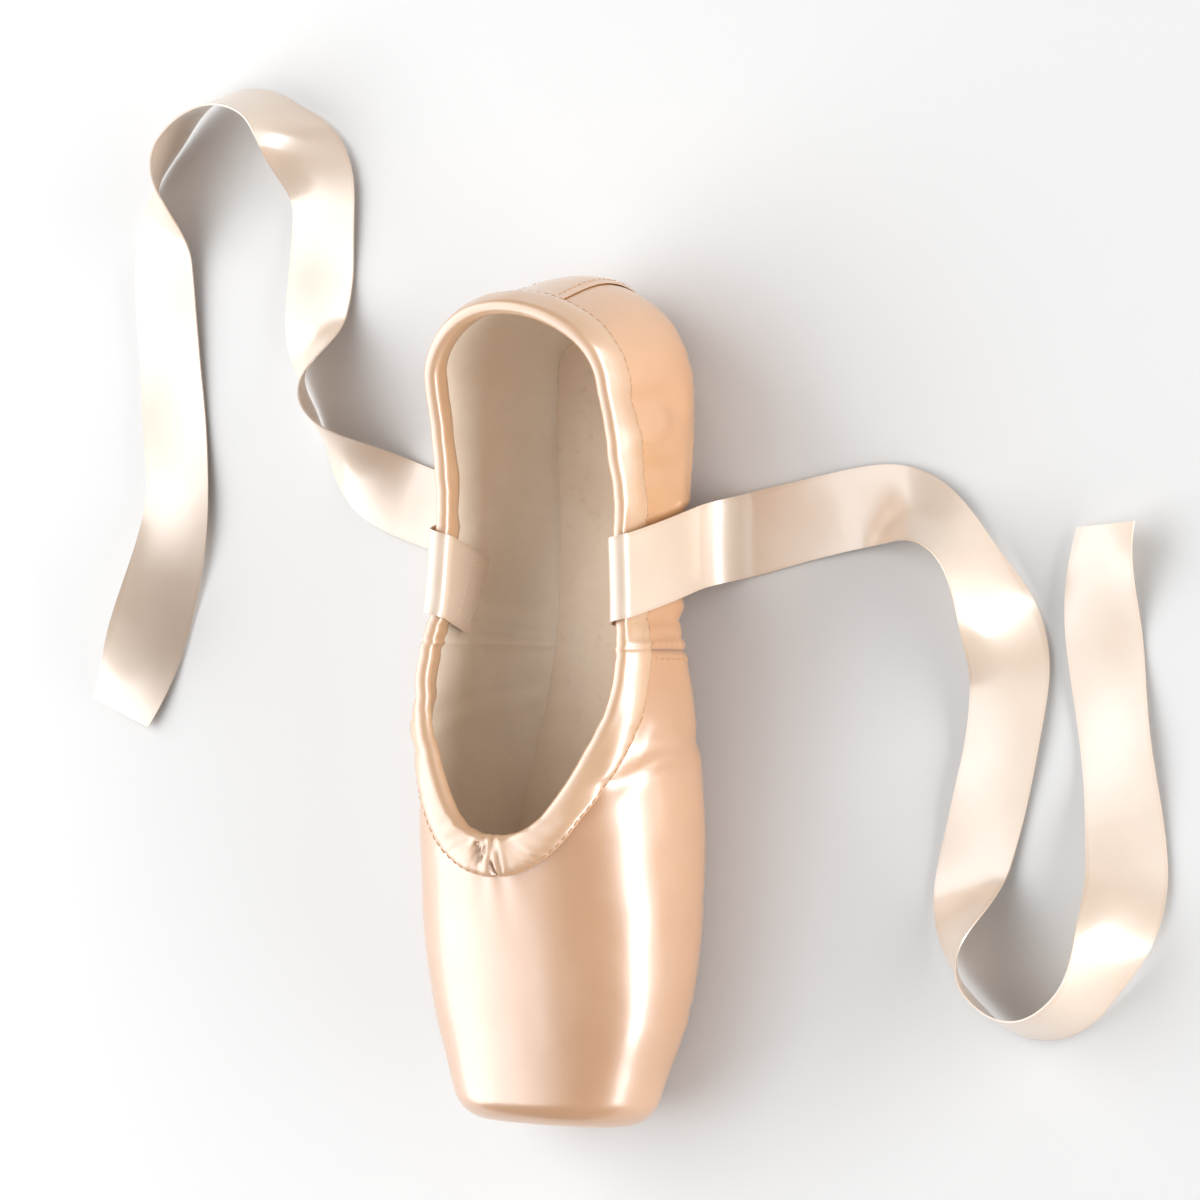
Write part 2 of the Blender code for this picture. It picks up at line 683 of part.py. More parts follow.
def ribbon_on_floor(start, length, across, bends):
    """Points of a ribbon that lies on the floor from a start point, for the +X side."""
    floor = GAP + RIBBON_THICKNESS / 2
    share = np.linspace(0, 1, 1 + 8 * len(length))
    turns = smooth_curve([b.along for b in bends], [b.heading for b in bends], share)
    heading = RIBBON_SLANT + np.radians(turns)
    step = (length[-1] - length[0]) * (share[1] - share[0])
    middle_x = np.concatenate([[0], np.cumsum(np.cos(heading[1:]) * step)]) + start[0]
    middle_s = np.concatenate([[0], np.cumsum(np.sin(heading[1:]) * step)]) + start[1]
    at = (length - length[0]) / (length[-1] - length[0])
    turn = np.interp(at, share, heading)
    tilt = np.radians(smooth_curve([b.along for b in bends], [b.tilt for b in bends], at))
    middle = np.stack([np.interp(at, share, middle_x), np.interp(at, share, middle_s),
                       floor + np.abs(np.sin(tilt)) * RIBBON_WIDTH / 2], axis=-1)
    side = np.stack([-np.sin(turn) * np.cos(tilt), np.cos(turn) * np.cos(tilt), np.sin(tilt)], axis=-1)
    return middle[:, None] + side[:, None] * across[None, :, None]


def ribbon_middle(bends):
    """Middle surface of a ribbon on the +X side, rows along it and points across."""
    across = np.linspace(-RIBBON_WIDTH / 2, RIBBON_WIDTH / 2, RIBBON_LINES)
    reach = QUARTER_WALL / 2 + RIBBON_DROP_BEND * math.pi / 2 + QUARTER_HEIGHT
    slack = RIBBON_WIDTH / 2 * math.tan(RIBBON_SLANT)
    landing = reach / math.cos(RIBBON_SLANT) + slack
    sewn = -RIBBON_SEWN / math.cos(RIBBON_SLANT)
    hung = np.linspace(sewn, landing, HUNG_ROWS)
    end = RIBBON_LENGTH + sewn
    laid = np.linspace(landing, end, LAID_ROWS)
    on_shoe = ribbon_on_shoe(hung[:, None], across[None])
    start = ribbon_on_shoe(np.array(landing), np.array(0.0))
    on_floor = ribbon_on_floor(start, laid, across, bends)
    return np.concatenate([on_shoe[:-1], on_floor])


def surface_normal(grid):
    """Normals of a grid from the steps along it and across it."""
    along = np.gradient(grid, axis=0)
    across = np.gradient(grid, axis=1)
    normal = np.cross(along, across)
    return normal / np.linalg.norm(normal, axis=-1, keepdims=True)


def make_ribbon(name, side, bends, material):
    middle = ribbon_middle(bends)
    normal = surface_normal(middle) * RIBBON_THICKNESS / 2
    mirror = np.array([side, 1, 1])
    shell_object(name, to_world((middle + normal) * mirror), to_world((middle - normal) * mirror),
                 False, material)


def clear_scene():
    for obj in list(bpy.data.objects):
        bpy.data.objects.remove(obj, do_unlink=True)


def main():
    clear_scene()
    satin = plain_material("satin", SATIN, 0.4)
    pale_satin = plain_material("pale_satin", SATIN_PALE, 0.35)
    leather = plain_material("leather", LEATHER, 0.6)
    lining = plain_material("lining", LINING, 0.9)
    make_outsole(leather)
    make_upper(satin)
    make_insole(lining)
    make_binding(pale_satin)
    make_heel_strip(satin)
    make_ribbon("ribbon_left", 1, LEFT_BENDS, pale_satin)
    make_ribbon("ribbon_right", -1, RIGHT_BENDS, pale_satin)


main()
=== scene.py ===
"""The looks of the pointe shoe: satin, binding, leather, lining and ribbons, modelled
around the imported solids, with the camera at the photograph's angle to the shoe.

Metres, +Z up, the toe toward -Y. In the functions, s is the distance behind the toe.
"""

import math
from collections import namedtuple

import bpy
import numpy as np
from mathutils import Matrix, Vector


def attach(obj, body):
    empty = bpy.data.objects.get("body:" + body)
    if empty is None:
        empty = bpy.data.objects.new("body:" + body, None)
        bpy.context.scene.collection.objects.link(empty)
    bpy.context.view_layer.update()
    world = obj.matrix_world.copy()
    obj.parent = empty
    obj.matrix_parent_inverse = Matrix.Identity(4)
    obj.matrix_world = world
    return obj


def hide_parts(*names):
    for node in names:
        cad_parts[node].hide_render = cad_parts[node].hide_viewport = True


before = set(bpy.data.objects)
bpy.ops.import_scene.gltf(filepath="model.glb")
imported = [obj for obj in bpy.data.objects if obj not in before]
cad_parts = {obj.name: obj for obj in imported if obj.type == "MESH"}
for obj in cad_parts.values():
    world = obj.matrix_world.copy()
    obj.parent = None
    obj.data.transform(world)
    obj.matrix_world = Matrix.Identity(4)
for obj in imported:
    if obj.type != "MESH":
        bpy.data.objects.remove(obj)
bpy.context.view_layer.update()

# Driving dimensions of the last
LENGTH = 0.232
BALL_WIDTH = 0.082
HEEL_WIDTH = 0.063
BALL_FROM_TOE = 0.072
VAMP_LENGTH = 0.077
THROAT_HEIGHT = 0.0575
QUARTER_HEIGHT = 0.043
HEEL_HEIGHT = 0.0595
ANKLE_HEIGHT = 0.095
WIDEST_LEVEL = 0.021
HEEL_BACK = 0.029
HEEL_LEAN = 0.006
PLATFORM_WIDTH = 0.056
PLATFORM_TOP = 0.041
RIM_RADIUS = 0.007
TOE_SPRING = 0.0025
ARCH_LIFT = 0.004

# Where the last is level and where its walls change. The first two are shares of
# BALL_FROM_TOE, the third of HEEL_BACK, the fourth of the outsole's half width at the
# platform, and the last two of BALL_WIDTH.
BALL_LEVEL_START = 0.7
BALL_LEVEL_END = 1.3
HEEL_LEVEL_START = 0.5
PLATFORM_FLAT = 0.5
FAN_SETBACK = 0.1
BOX_FADE = 0.45

# Walls, layers and the clearance between pieces that touch
BOX_WALL = 0.003
QUARTER_WALL = 0.0019
SOLE_THICKNESS = 0.0025
INSOLE_THICKNESS = 0.0015
STRIP_THICKNESS = 0.0008
BINDING_THICKNESS = 0.0009
RIBBON_THICKNESS = 0.0008
GAP = 0.0003

# Outsole outline
SOLE_TOE_GAP = 0.022
SOLE_HEEL_GAP = 0.012
SOLE_BALL_WIDTH = 0.052
SOLE_WAIST_WIDTH = 0.025
SOLE_HEEL_WIDTH = 0.037
SOLE_TOE_ROUND = 0.026
SOLE_HEEL_ROUND = 0.012
SOLE_EDGE = 0.0006
OPENING_INSET = 0.006
PLUG_CLEAR = 0.0008

# Trim
BINDING_OUTSIDE = 0.009
BINDING_INSIDE = 0.006
STRIP_WIDTH = 0.020
RIBBON_WIDTH = 0.022
RIBBON_LENGTH = 0.45
RIBBON_SEWN = 0.024
RIBBON_FROM_TOE = 0.150
RIBBON_SLANT = math.radians(14)
RIBBON_DROP_BEND = 0.012
RIBBON_CLEAR = 0.0008

# Powers of the rounded sections below and above the widest level
LOWER_POWER = 2.2
UPPER_POWER = 2.1

STEEPEST = math.radians(88)
HEEL_AXIS = LENGTH - HEEL_BACK
FAN_AXIS = VAMP_LENGTH + FAN_SETBACK * BALL_WIDTH
SOLE_START = SOLE_TOE_GAP
SOLE_END = LENGTH - SOLE_HEEL_GAP

# The last from toe to throat. along: share of the vamp length; width: share of the
# way from platform to ball width; crown: share of the way from platform top to throat.
FOREPART = (
    (0.00, 0.00, 0.00),
    (0.20, 0.38, 0.17),
    (0.39, 0.73, 0.36),
    (0.60, 0.93, 0.60),
    (0.80, 1.00, 0.81),
    (1.00, 1.00, 1.00),
)

# The last behind the throat. along: share of the way from throat to heel axis; width:
# share of the way from ball to heel width; crown: share of the way from throat to ankle.
BACKPART = (
    (0.18, 0.15, 0.09),
    (0.35, 0.46, 0.42),
    (0.54, 0.86, 0.74),
    (0.72, 1.00, 0.90),
    (1.00, 1.00, 1.00),
)

# The collar edge. along: share of the way from throat to heel; front and back: shares of
# the rise from the quarter height to the throat and to the heel.
COLLAR = (
    (0.00, 1.00, 0.00),
    (0.07, 0.83, 0.00),
    (0.15, 0.60, 0.00),
    (0.28, 0.24, 0.00),
    (0.44, 0.00, 0.00),
    (0.57, 0.00, 0.04),
    (0.70, 0.00, 0.27),
    (0.83, 0.00, 0.66),
    (0.94, 0.00, 0.94),
    (1.00, 0.00, 1.00),
)

# The outsole. along: share of its length; ball and heel: shares of the step from waist
# width to ball width and to heel width.
SOLE = (
    (0.00, 0.78, 0.00),
    (0.10, 0.94, 0.00),
    (0.20, 1.00, 0.00),
    (0.30, 0.93, 0.00),
    (0.45, 0.40, 0.00),
    (0.60, 0.00, 0.04),
    (0.70, 0.00, 0.25),
    (0.84, 0.00, 0.90),
    (1.00, 0.00, 1.00),
)

# The outsole's rounded edge: how far it is drawn in, and at what share of its thickness
SOLE_LEVELS = (
    (0.0020, 0.0), (0.0011, 0.01), (0.0004, 0.08), (0.0, 0.28),
    (-0.0001, 0.5), (0.0001, 0.8), (0.0005, 0.97), (0.0012, 1.0),
)

# How the ribbons run on the floor. along: share of the stretch on the floor; heading:
# degrees toward the heel from the way they leave the shoe; tilt: degrees that they lean.
LEFT_BENDS = (
    (0.00, 0, 0),
    (0.06, -3, 0),
    (0.19, -64, -70),
    (0.30, -112, -10),
    (0.36, -116, 0),
    (0.42, -118, 0),
    (0.54, -56, 74),
    (0.64, 36, 76),
    (0.75, 84, 10),
    (0.82, 87, 0),
    (0.90, 84, 0),
    (1.00, 62, -20),
)
RIGHT_BENDS = (
    (0.00, 0, 0),
    (0.04, 5, 0),
    (0.15, 52, 64),
    (0.23, 76, 6),
    (0.27, 77, 0),
    (0.31, 76, 0),
    (0.41, 14, -74),
    (0.51, -66, -74),
    (0.62, -106, -8),
    (0.70, -111, 0),
    (0.78, -112, 0),
    (0.90, -88, 36),
    (1.00, -66, 4),
)


def smooth_curve(stations, values, at):
    """A curve through a table's rows with no overshoot, held level past its ends."""
    stations = np.asarray(stations, float)
    values = np.asarray(values, float)
    widths = np.diff(stations)
    slopes = np.diff(values) / widths
    tangents = np.zeros_like(values)
    tangents[0] = slopes[0]
    tangents[-1] = slopes[-1]
    same_way = slopes[:-1] * slopes[1:] > 0
    blend = 2 * slopes[:-1] * slopes[1:] / np.where(same_way, slopes[:-1] + slopes[1:], 1)
    tangents[1:-1] = np.where(same_way, blend, 0)
    at = np.clip(at, stations[0], stations[-1])
    i = np.clip(np.searchsorted(stations, at, side="right") - 1, 0, len(widths) - 1)
    t = (at - stations[i]) / widths[i]
    rise = values[i] * (1 + 2 * t) * (1 - t) ** 2 + values[i + 1] * t * t * (3 - 2 * t)
    lean = tangents[i] * t * (1 - t) ** 2 - tangents[i + 1] * t * t * (1 - t)
    return rise + lean * widths[i]


def ease(t):
    """A smooth step from 0 to 1 as t goes from 0 to 1."""
    t = np.clip(t, 0, 1)
    return t * t * (3 - 2 * t)


def last_stations():
    """Distance from the toe, half width and crown height at each row of the last."""
    toe = np.array([0, PLATFORM_WIDTH / 2, PLATFORM_TOP])
    throat = np.array([VAMP_LENGTH, BALL_WIDTH / 2, THROAT_HEIGHT])
    heel = np.array([HEEL_AXIS, HEEL_WIDTH / 2, ANKLE_HEIGHT])
    before = toe + np.array(FOREPART) * (throat - toe)
    return np.concatenate([before, throat + np.array(BACKPART) * (heel - throat)])


STATIONS = last_stations()


def half_width(s):
    return smooth_curve(STATIONS[:, 0], STATIONS[:, 1], s)


def crown_height(s):
    return smooth_curve(STATIONS[:, 0], STATIONS[:, 2], s)


def collar_height(s):
    """Height of the collar edge, rising out of the way in front of the throat."""
    along, front, back = np.array(COLLAR).T
    front_rise = THROAT_HEIGHT - QUARTER_HEIGHT
    back_rise = HEEL_HEIGHT - QUARTER_HEIGHT
    heights = QUARTER_HEIGHT + front * front_rise + back * back_rise
    stations = VAMP_LENGTH + along * (LENGTH - VAMP_LENGTH)
    return smooth_curve(stations, heights, s) + np.maximum(VAMP_LENGTH - s, 0)


def sole_lift(s):
    """Underside of the outsole above the floor: level at ball and heel."""
    ball_start = BALL_LEVEL_START * BALL_FROM_TOE
    ball_end = BALL_LEVEL_END * BALL_FROM_TOE
    heel_start = HEEL_AXIS - HEEL_LEVEL_START * HEEL_BACK
    toe = TOE_SPRING * (np.maximum(ball_start - s, 0) / ball_start) ** 2
    span = np.clip((s - ball_end) / (heel_start - ball_end), 0, 1)
    return toe + ARCH_LIFT * np.sin(math.pi * span) ** 2


def last_bottom(s):
    return sole_lift(s) + SOLE_THICKNESS + GAP


def sole_half_width(s):
    """Half width of the outsole before its ends are rounded."""
    along, ball, heel = np.array(SOLE).T
    ball_step = SOLE_BALL_WIDTH - SOLE_WAIST_WIDTH
    heel_step = SOLE_HEEL_WIDTH - SOLE_WAIST_WIDTH
    widths = SOLE_WAIST_WIDTH + ball * ball_step + heel * heel_step
    return smooth_curve(SOLE_START + along * (SOLE_END - SOLE_START), widths, s) / 2


def flat_half_width(s):
    """Half width of the level underside of the last, narrower toward the platform."""
    level = sole_half_width(s) + 2 * SOLE_EDGE
    behind = ease(s / (SOLE_START + SOLE_TOE_ROUND / 2))
    return level * (PLATFORM_FLAT + (1 - PLATFORM_FLAT) * behind)


def softness(s):
    """0 on the stiff box and 1 on the soft quarters."""
    return ease((s - FAN_AXIS) / (BOX_FADE * BALL_WIDTH))


def wall_thickness(s):
    """The stiff box is thicker than the soft quarters."""
    return BOX_WALL + softness(s) * (QUARTER_WALL - BOX_WALL)


def last_gap(x, s, z):
    """Distance outside the last's outer surface, negative inside, s from the toe."""
    at = np.minimum(s, HEEL_AXIS)
    half = half_width(at)
    crown = crown_height(at)
    bottom = last_bottom(at)
    flat = flat_half_width(at)
    lean = HEEL_LEAN * ease((z - WIDEST_LEVEL) / (HEEL_HEIGHT - WIDEST_LEVEL))
    back = np.maximum(s - HEEL_AXIS, 0) * (HEEL_WIDTH / 2) / (HEEL_BACK - lean)
    across = np.hypot(x, back)
    low = z < WIDEST_LEVEL
    side = np.where(low, np.maximum(across - flat, 0) / (half - flat), across / half)
    tall = np.where(low, (WIDEST_LEVEL - z) / (WIDEST_LEVEL - bottom),
                    (z - WIDEST_LEVEL) / (crown - WIDEST_LEVEL))
    power = np.where(low, LOWER_POWER, UPPER_POWER)
    reach = np.maximum((side ** power + tall ** power) ** (1 / power), 1e-6)
    beside = np.where(low, np.maximum(across - flat, 0), across)
    wall = np.hypot(beside, z - WIDEST_LEVEL) * (reach - 1) / reach
    toe = -s
    edge = np.hypot(np.maximum(wall + RIM_RADIUS, 0), np.maximum(toe + RIM_RADIUS, 0))
    return np.minimum(-RIM_RADIUS, np.maximum(wall, toe)) + edge


def unit(vectors):
    """The same directions, one long."""
    return vectors / np.linalg.norm(vectors, axis=-1, keepdims=True)


def step_lengths(points):
    """Distance from each point of a line to the next."""
    return np.linalg.norm(np.diff(points, axis=-2), axis=-1)


def running_total(steps):
    """The sum of a line's steps up to each of its points, 0 at the first."""
    return np.insert(np.cumsum(steps, axis=-1), 0, 0, axis=-1)


def last_normal(points):
    """Outward direction of the last's surface at each point."""
    step = 2e-5
    normal = np.empty_like(points)
    for axis in range(3):
        ahead = points.copy()
        behind = points.copy()
        ahead[..., axis] += step
        behind[..., axis] -= step
        normal[..., axis] = last_gap(*np.moveaxis(ahead, -1, 0)) - last_gap(*np.moveaxis(behind, -1, 0))
    return unit(normal)


def bisect(outside, low, high, rounds=44):
    """The value between low and high where outside(value) turns true."""
    low = np.array(low, float)
    high = np.array(high, float)
    for _ in range(rounds):
        middle = (low + high) / 2
        out = outside(middle)
        high = np.where(out, middle, high)
        low = np.where(out, low, middle)
    return (low + high) / 2


def along_ray(base, aim, rise, reach):
    """Points at a distance along rays; base and aim are per line, in x, s."""
    flat = reach * np.cos(rise)
    x = base[..., 0] + flat * aim[..., 0]
    s = base[..., 1] + flat * aim[..., 1]
    z = WIDEST_LEVEL + reach * np.sin(rise)
    return np.stack([x, s, z], axis=-1)


def surface_hit(base, aim, rise):
    """Where each ray from inside the last meets its outer surface."""
    def outside(reach):
        return last_gap(*np.moveaxis(along_ray(base, aim, rise, reach), -1, 0)) > 0
    reach = bisect(outside, np.zeros_like(rise), np.full_like(rise, LENGTH))
    return along_ray(base, aim, rise, reach)


def collar_rise(base, aim):
    """The steepest ray of each line that still meets the upper, at the collar edge."""
    def outside(rise):
        hit = surface_hit(base, aim, rise)
        return hit[..., 2] > collar_height(hit[..., 1])
    lines = base.shape[0]
    return bisect(outside, np.zeros(lines), np.full(lines, STEEPEST))


def outline_half_width(s, inset):
    """Half width of the outsole's outline drawn in by inset, ends rounded."""
    toe = np.clip((s - SOLE_START - inset) / (SOLE_TOE_ROUND - inset), 0, 1)
    heel = np.clip((SOLE_END - inset - s) / (SOLE_HEEL_ROUND - inset), 0, 1)
    corners = np.sqrt(1 - (1 - toe) ** 2) * np.sqrt(1 - (1 - heel) ** 2)
    return (sole_half_width(s) - inset) * corners


def underside_rise(base, aim, inset):
    """The ray of each line that meets the outsole's outline, drawn in by inset."""
    def outside(reach):
        s = base[..., 1] + reach * aim[..., 1]
        x = base[..., 0] + reach * aim[..., 0]
        return np.abs(x) >= outline_half_width(s, inset)
    reach = bisect(outside, np.zeros(len(base)), np.full(len(base), LENGTH))
    drop = last_bottom(base[..., 1] + reach * aim[..., 1]) - WIDEST_LEVEL
    return np.arctan2(drop, reach)


def spine(turn):
    """Base and direction of the upper's lines: fans at throat and heel, straight between."""
    toe_angle = np.clip(turn, 0, 1) * math.pi / 2
    heel_angle = np.clip(turn - 2, 0, 1) * math.pi / 2
    middle = np.clip(turn - 1, 0, 1)
    s = FAN_AXIS + middle * (HEEL_AXIS - FAN_AXIS)
    base = np.stack([np.zeros_like(turn), s], axis=-1)
    aim_x = np.sin(toe_angle) * np.cos(heel_angle)
    aim_s = np.sin(heel_angle) - np.cos(toe_angle)
    return base, np.stack([aim_x, aim_s], axis=-1)


def even_share(points, count, corner_weight):
    """Places along a polyline, spaced evenly by length plus weighted turning."""
    steps = np.diff(points, axis=0)
    length = np.linalg.norm(steps, axis=-1)
    ways = steps / np.maximum(length, 1e-9)[:, None]
    turning = np.zeros(len(length))
    turning[1:] = np.arccos(np.clip((ways[1:] * ways[:-1]).sum(axis=-1), -1, 1))
    total = running_total(length + corner_weight * turning)
    return np.interp(np.linspace(0, total[-1], count), total, np.arange(len(points)))


def mirrored_lines(count):
    """Base and direction of all lines, round the shoe from the toe by the +X side."""
    base, aim = spine(line_turns(count))
    other_aim = aim[-2:0:-1] * np.array([-1, 1])
    return np.concatenate([base, base[-2:0:-1]]), np.concatenate([aim, other_aim])


def hit_rows(base, aim, rise):
    """Surface points for a table of rises with one row for each line."""
    wide_base, wide_aim = (np.repeat(each[:, None], rise.shape[1], axis=1) for each in (base, aim))
    return surface_hit(wide_base, wide_aim, rise)


def line_samples(base, aim, lowest, highest, count=320):
    """Dense points and their rises along each line, from the lowest ray to the highest."""
    rise = lowest[:, None] + (highest - lowest)[:, None] * np.linspace(0, 1, count)
    return hit_rows(base, aim, rise), rise


def depth_below(points):
    """Length along each line from each of its points to its last, at the collar edge."""
    return running_total(step_lengths(points)[..., ::-1])[..., ::-1]


def collar_frames(base, aim, depths):
    """Points at depths below the collar edge, and the way up at the edge."""
    top = collar_rise(base, aim)
    below = math.radians(60)
    points, rise = line_samples(base, aim, top - below, top)
    angles = [np.interp(depths, d[::-1], r[::-1]) for d, r in zip(depth_below(points), rise)]
    return hit_rows(base, aim, np.array(angles)), unit(points[:, -1] - points[:, -4])


def to_world(points):
    """From distance behind the toe to the part's own frame."""
    return points - np.array([0, BALL_FROM_TOE, 0])


def wall_half_width(s, z):
    """Half width of the shoe at a height, and its widest below the widest level."""
    tall = np.clip((z - WIDEST_LEVEL) / (crown_height(s) - WIDEST_LEVEL), 0, 1)
    return half_width(s) * (1 - tall ** UPPER_POWER) ** (1 / UPPER_POWER)


def ribbon_drop(s, run):
    """x and z of a ribbon over the collar and down to the floor, run from the edge."""
    clear = GAP + BINDING_THICKNESS + RIBBON_CLEAR + RIBBON_THICKNESS / 2
    floor = GAP + RIBBON_THICKNESS / 2
    edge_z = collar_height(s)
    edge_x = wall_half_width(s, edge_z)
    fold = wall_thickness(s) / 2 + clear
    quarter_turn = fold * math.pi / 2
    hang = np.maximum(run - quarter_turn, 0)
    fall = edge_z - floor - RIBBON_DROP_BEND
    bend = np.clip((hang - fall) / RIBBON_DROP_BEND, 0, math.pi / 2)
    lying = np.maximum(hang - fall - RIBBON_DROP_BEND * math.pi / 2, 0)
    hang_z = edge_z - np.minimum(hang, fall) - RIBBON_DROP_BEND * np.sin(bend)
    hang_x = wall_half_width(s, edge_z - np.minimum(hang, fall)) + clear
    hang_x = hang_x + RIBBON_DROP_BEND * (1 - np.cos(bend)) + lying
    inside_z = edge_z + np.minimum(run + quarter_turn, 0)
    inside_x = wall_half_width(s, inside_z) - wall_thickness(s) - clear
    angle = np.clip(run / fold, -math.pi / 2, math.pi / 2)
    over_x = edge_x - wall_thickness(s) / 2 + fold * np.sin(angle)
    over_z = edge_z + fold * np.cos(angle)
    x = np.where(run > quarter_turn, hang_x, np.where(run < -quarter_turn, inside_x, over_x))
    z = np.where(run > quarter_turn, hang_z, np.where(run < -quarter_turn, inside_z, over_z))
    return x, z


def ribbon_on_shoe(length, across):
    """Points of a ribbon that crosses the collar at a slant, for the +X side."""
    s = RIBBON_FROM_TOE + length * math.sin(RIBBON_SLANT) + across * math.cos(RIBBON_SLANT)
    x, z = ribbon_drop(s, length * math.cos(RIBBON_SLANT) - across * math.sin(RIBBON_SLANT))
    return np.stack([x, s, z], axis=-1)


def ribbon_on_floor(start, length, across, bends):
    """Points of a ribbon that lies on the floor from a start point, for the +X side."""
    floor = GAP + RIBBON_THICKNESS / 2
    share = np.linspace(0, 1, 1 + 8 * len(length))
    along, turns, leans = np.array(bends).T
    heading = RIBBON_SLANT + np.radians(smooth_curve(along, turns, share))
    step = (length[-1] - length[0]) * (share[1] - share[0])
    middle_x = running_total(np.cos(heading[1:]) * step) + start[0]
    middle_s = running_total(np.sin(heading[1:]) * step) + start[1]
    at = (length - length[0]) / (length[-1] - length[0])
    turn = np.interp(at, share, heading)
    tilt = np.radians(smooth_curve(along, leans, at))
    middle = np.stack([np.interp(at, share, middle_x), np.interp(at, share, middle_s),
                       floor + np.abs(np.sin(tilt)) * RIBBON_WIDTH / 2], axis=-1)
    side = np.stack([-np.sin(turn) * np.cos(tilt), np.cos(turn) * np.cos(tilt), np.sin(tilt)], axis=-1)
    return middle[:, None] + side[:, None] * across[None, :, None]


# Fineness of the meshes
LINES_A_SIDE = 236
ROWS = 100
CORNER_WEIGHT = 0.012
STRIP_LINES = 33
STRIP_ROWS = 90
RIBBON_POINTS = 15
RIBBON_ROWS_HUNG = 150
RIBBON_ROWS_LAID = 330

# Places and sizes of the soft forms
SEAM_FROM_TOE = 0.131
SEAM_WIDTH = 0.0006
SEAM_DEPTH = 0.0005
PLEAT_DEPTH = 0.0019
PLEAT_PITCH = 0.0052
PLEAT_REACH = 0.019
SEAM_PUCKER_PITCH = 0.0034
HEEL_GATHER_DEPTH = 0.0005
HEEL_GATHER_PITCH = 0.0056
THROAT_GATHER_DEPTH = 0.00035
COLLAR_GATHER_DEPTH = 0.00013
BINDING_PUCKER_DEPTH = 0.00013
STRIP_PUCKER_DEPTH = 0.0001
BOX_UNEVENNESS = 0.00008
QUARTER_UNEVENNESS = 0.00032
ROUND_RADIUS = 0.030
RIBBON_SHOWN_THICKNESS = 0.00045
RIBBON_RIPPLE = 0.0007
RIBBON_SOFTENING = 40
RIBBON_SOFT_ROWS = 14
LEFT_CUT = math.radians(-18)
RIGHT_CUT = math.radians(18)
STITCH_RADIUS = 0.00021
STITCH_LENGTH = 0.0019
SEAM_STITCH_BACK = 0.0024
BINDING_PITCH = 0.0026
SEAM_PITCH = 0.0027
STRIP_PITCH = 0.0025
RIBBON_PITCH = 0.0024

# Lines of the meshes that stitches run along: from the strip's and the ribbon's sides, and
# the first and the last one from the ribbon's sewn end
STRIP_STITCH_LINE = 3
RIBBON_STITCH_LINE = 2
RIBBON_STITCH_ROWS = (3, 15)

# Depths of the crinkles in the satin, from and to where a ribbon's woven edge fades, and
# the side of the floor
CRINKLE = 0.00022
RIBBON_CRINKLE = 0.0002
WOVEN_EDGE = (0.0006, 0.0010)
FLOOR_SIDE = 60

# Sockets of a mix node that hold colours
MIX_INPUTS = (6, 7)
MIX_OUTPUT = 2

# Nail marks on the sole's middle line. strength: how dark.
Nail = namedtuple("Nail", "from_toe radius strength")
NAILS = [Nail(*row) for row in (
    (0.099, 0.0012, 0.95),
    (0.159, 0.0008, 0.7),
)]

# Lights, long panels round the shoe at one distance. first and last: the directions that
# a panel spans, in degrees from straight up toward +X; radiance: its brightness.
Panel = namedtuple("Panel", "name first last radiance")
PANELS = [Panel(*row) for row in (
    ("window_low", -88, -50, 3.3),
    ("window_middle", -50, -30, 2.6),
    ("window_high", -30, -15, 1.7),
    ("window_top", -15, 0, 0.9),
    ("window_end", 0, 12, 0.35),
    ("strip", 68, 87, 8.5),
)]
LIGHT_CENTRE = Vector((0, 0.06, 0.02))
LIGHT_DISTANCE = 1.2
LIGHT_LENGTH = 1.9

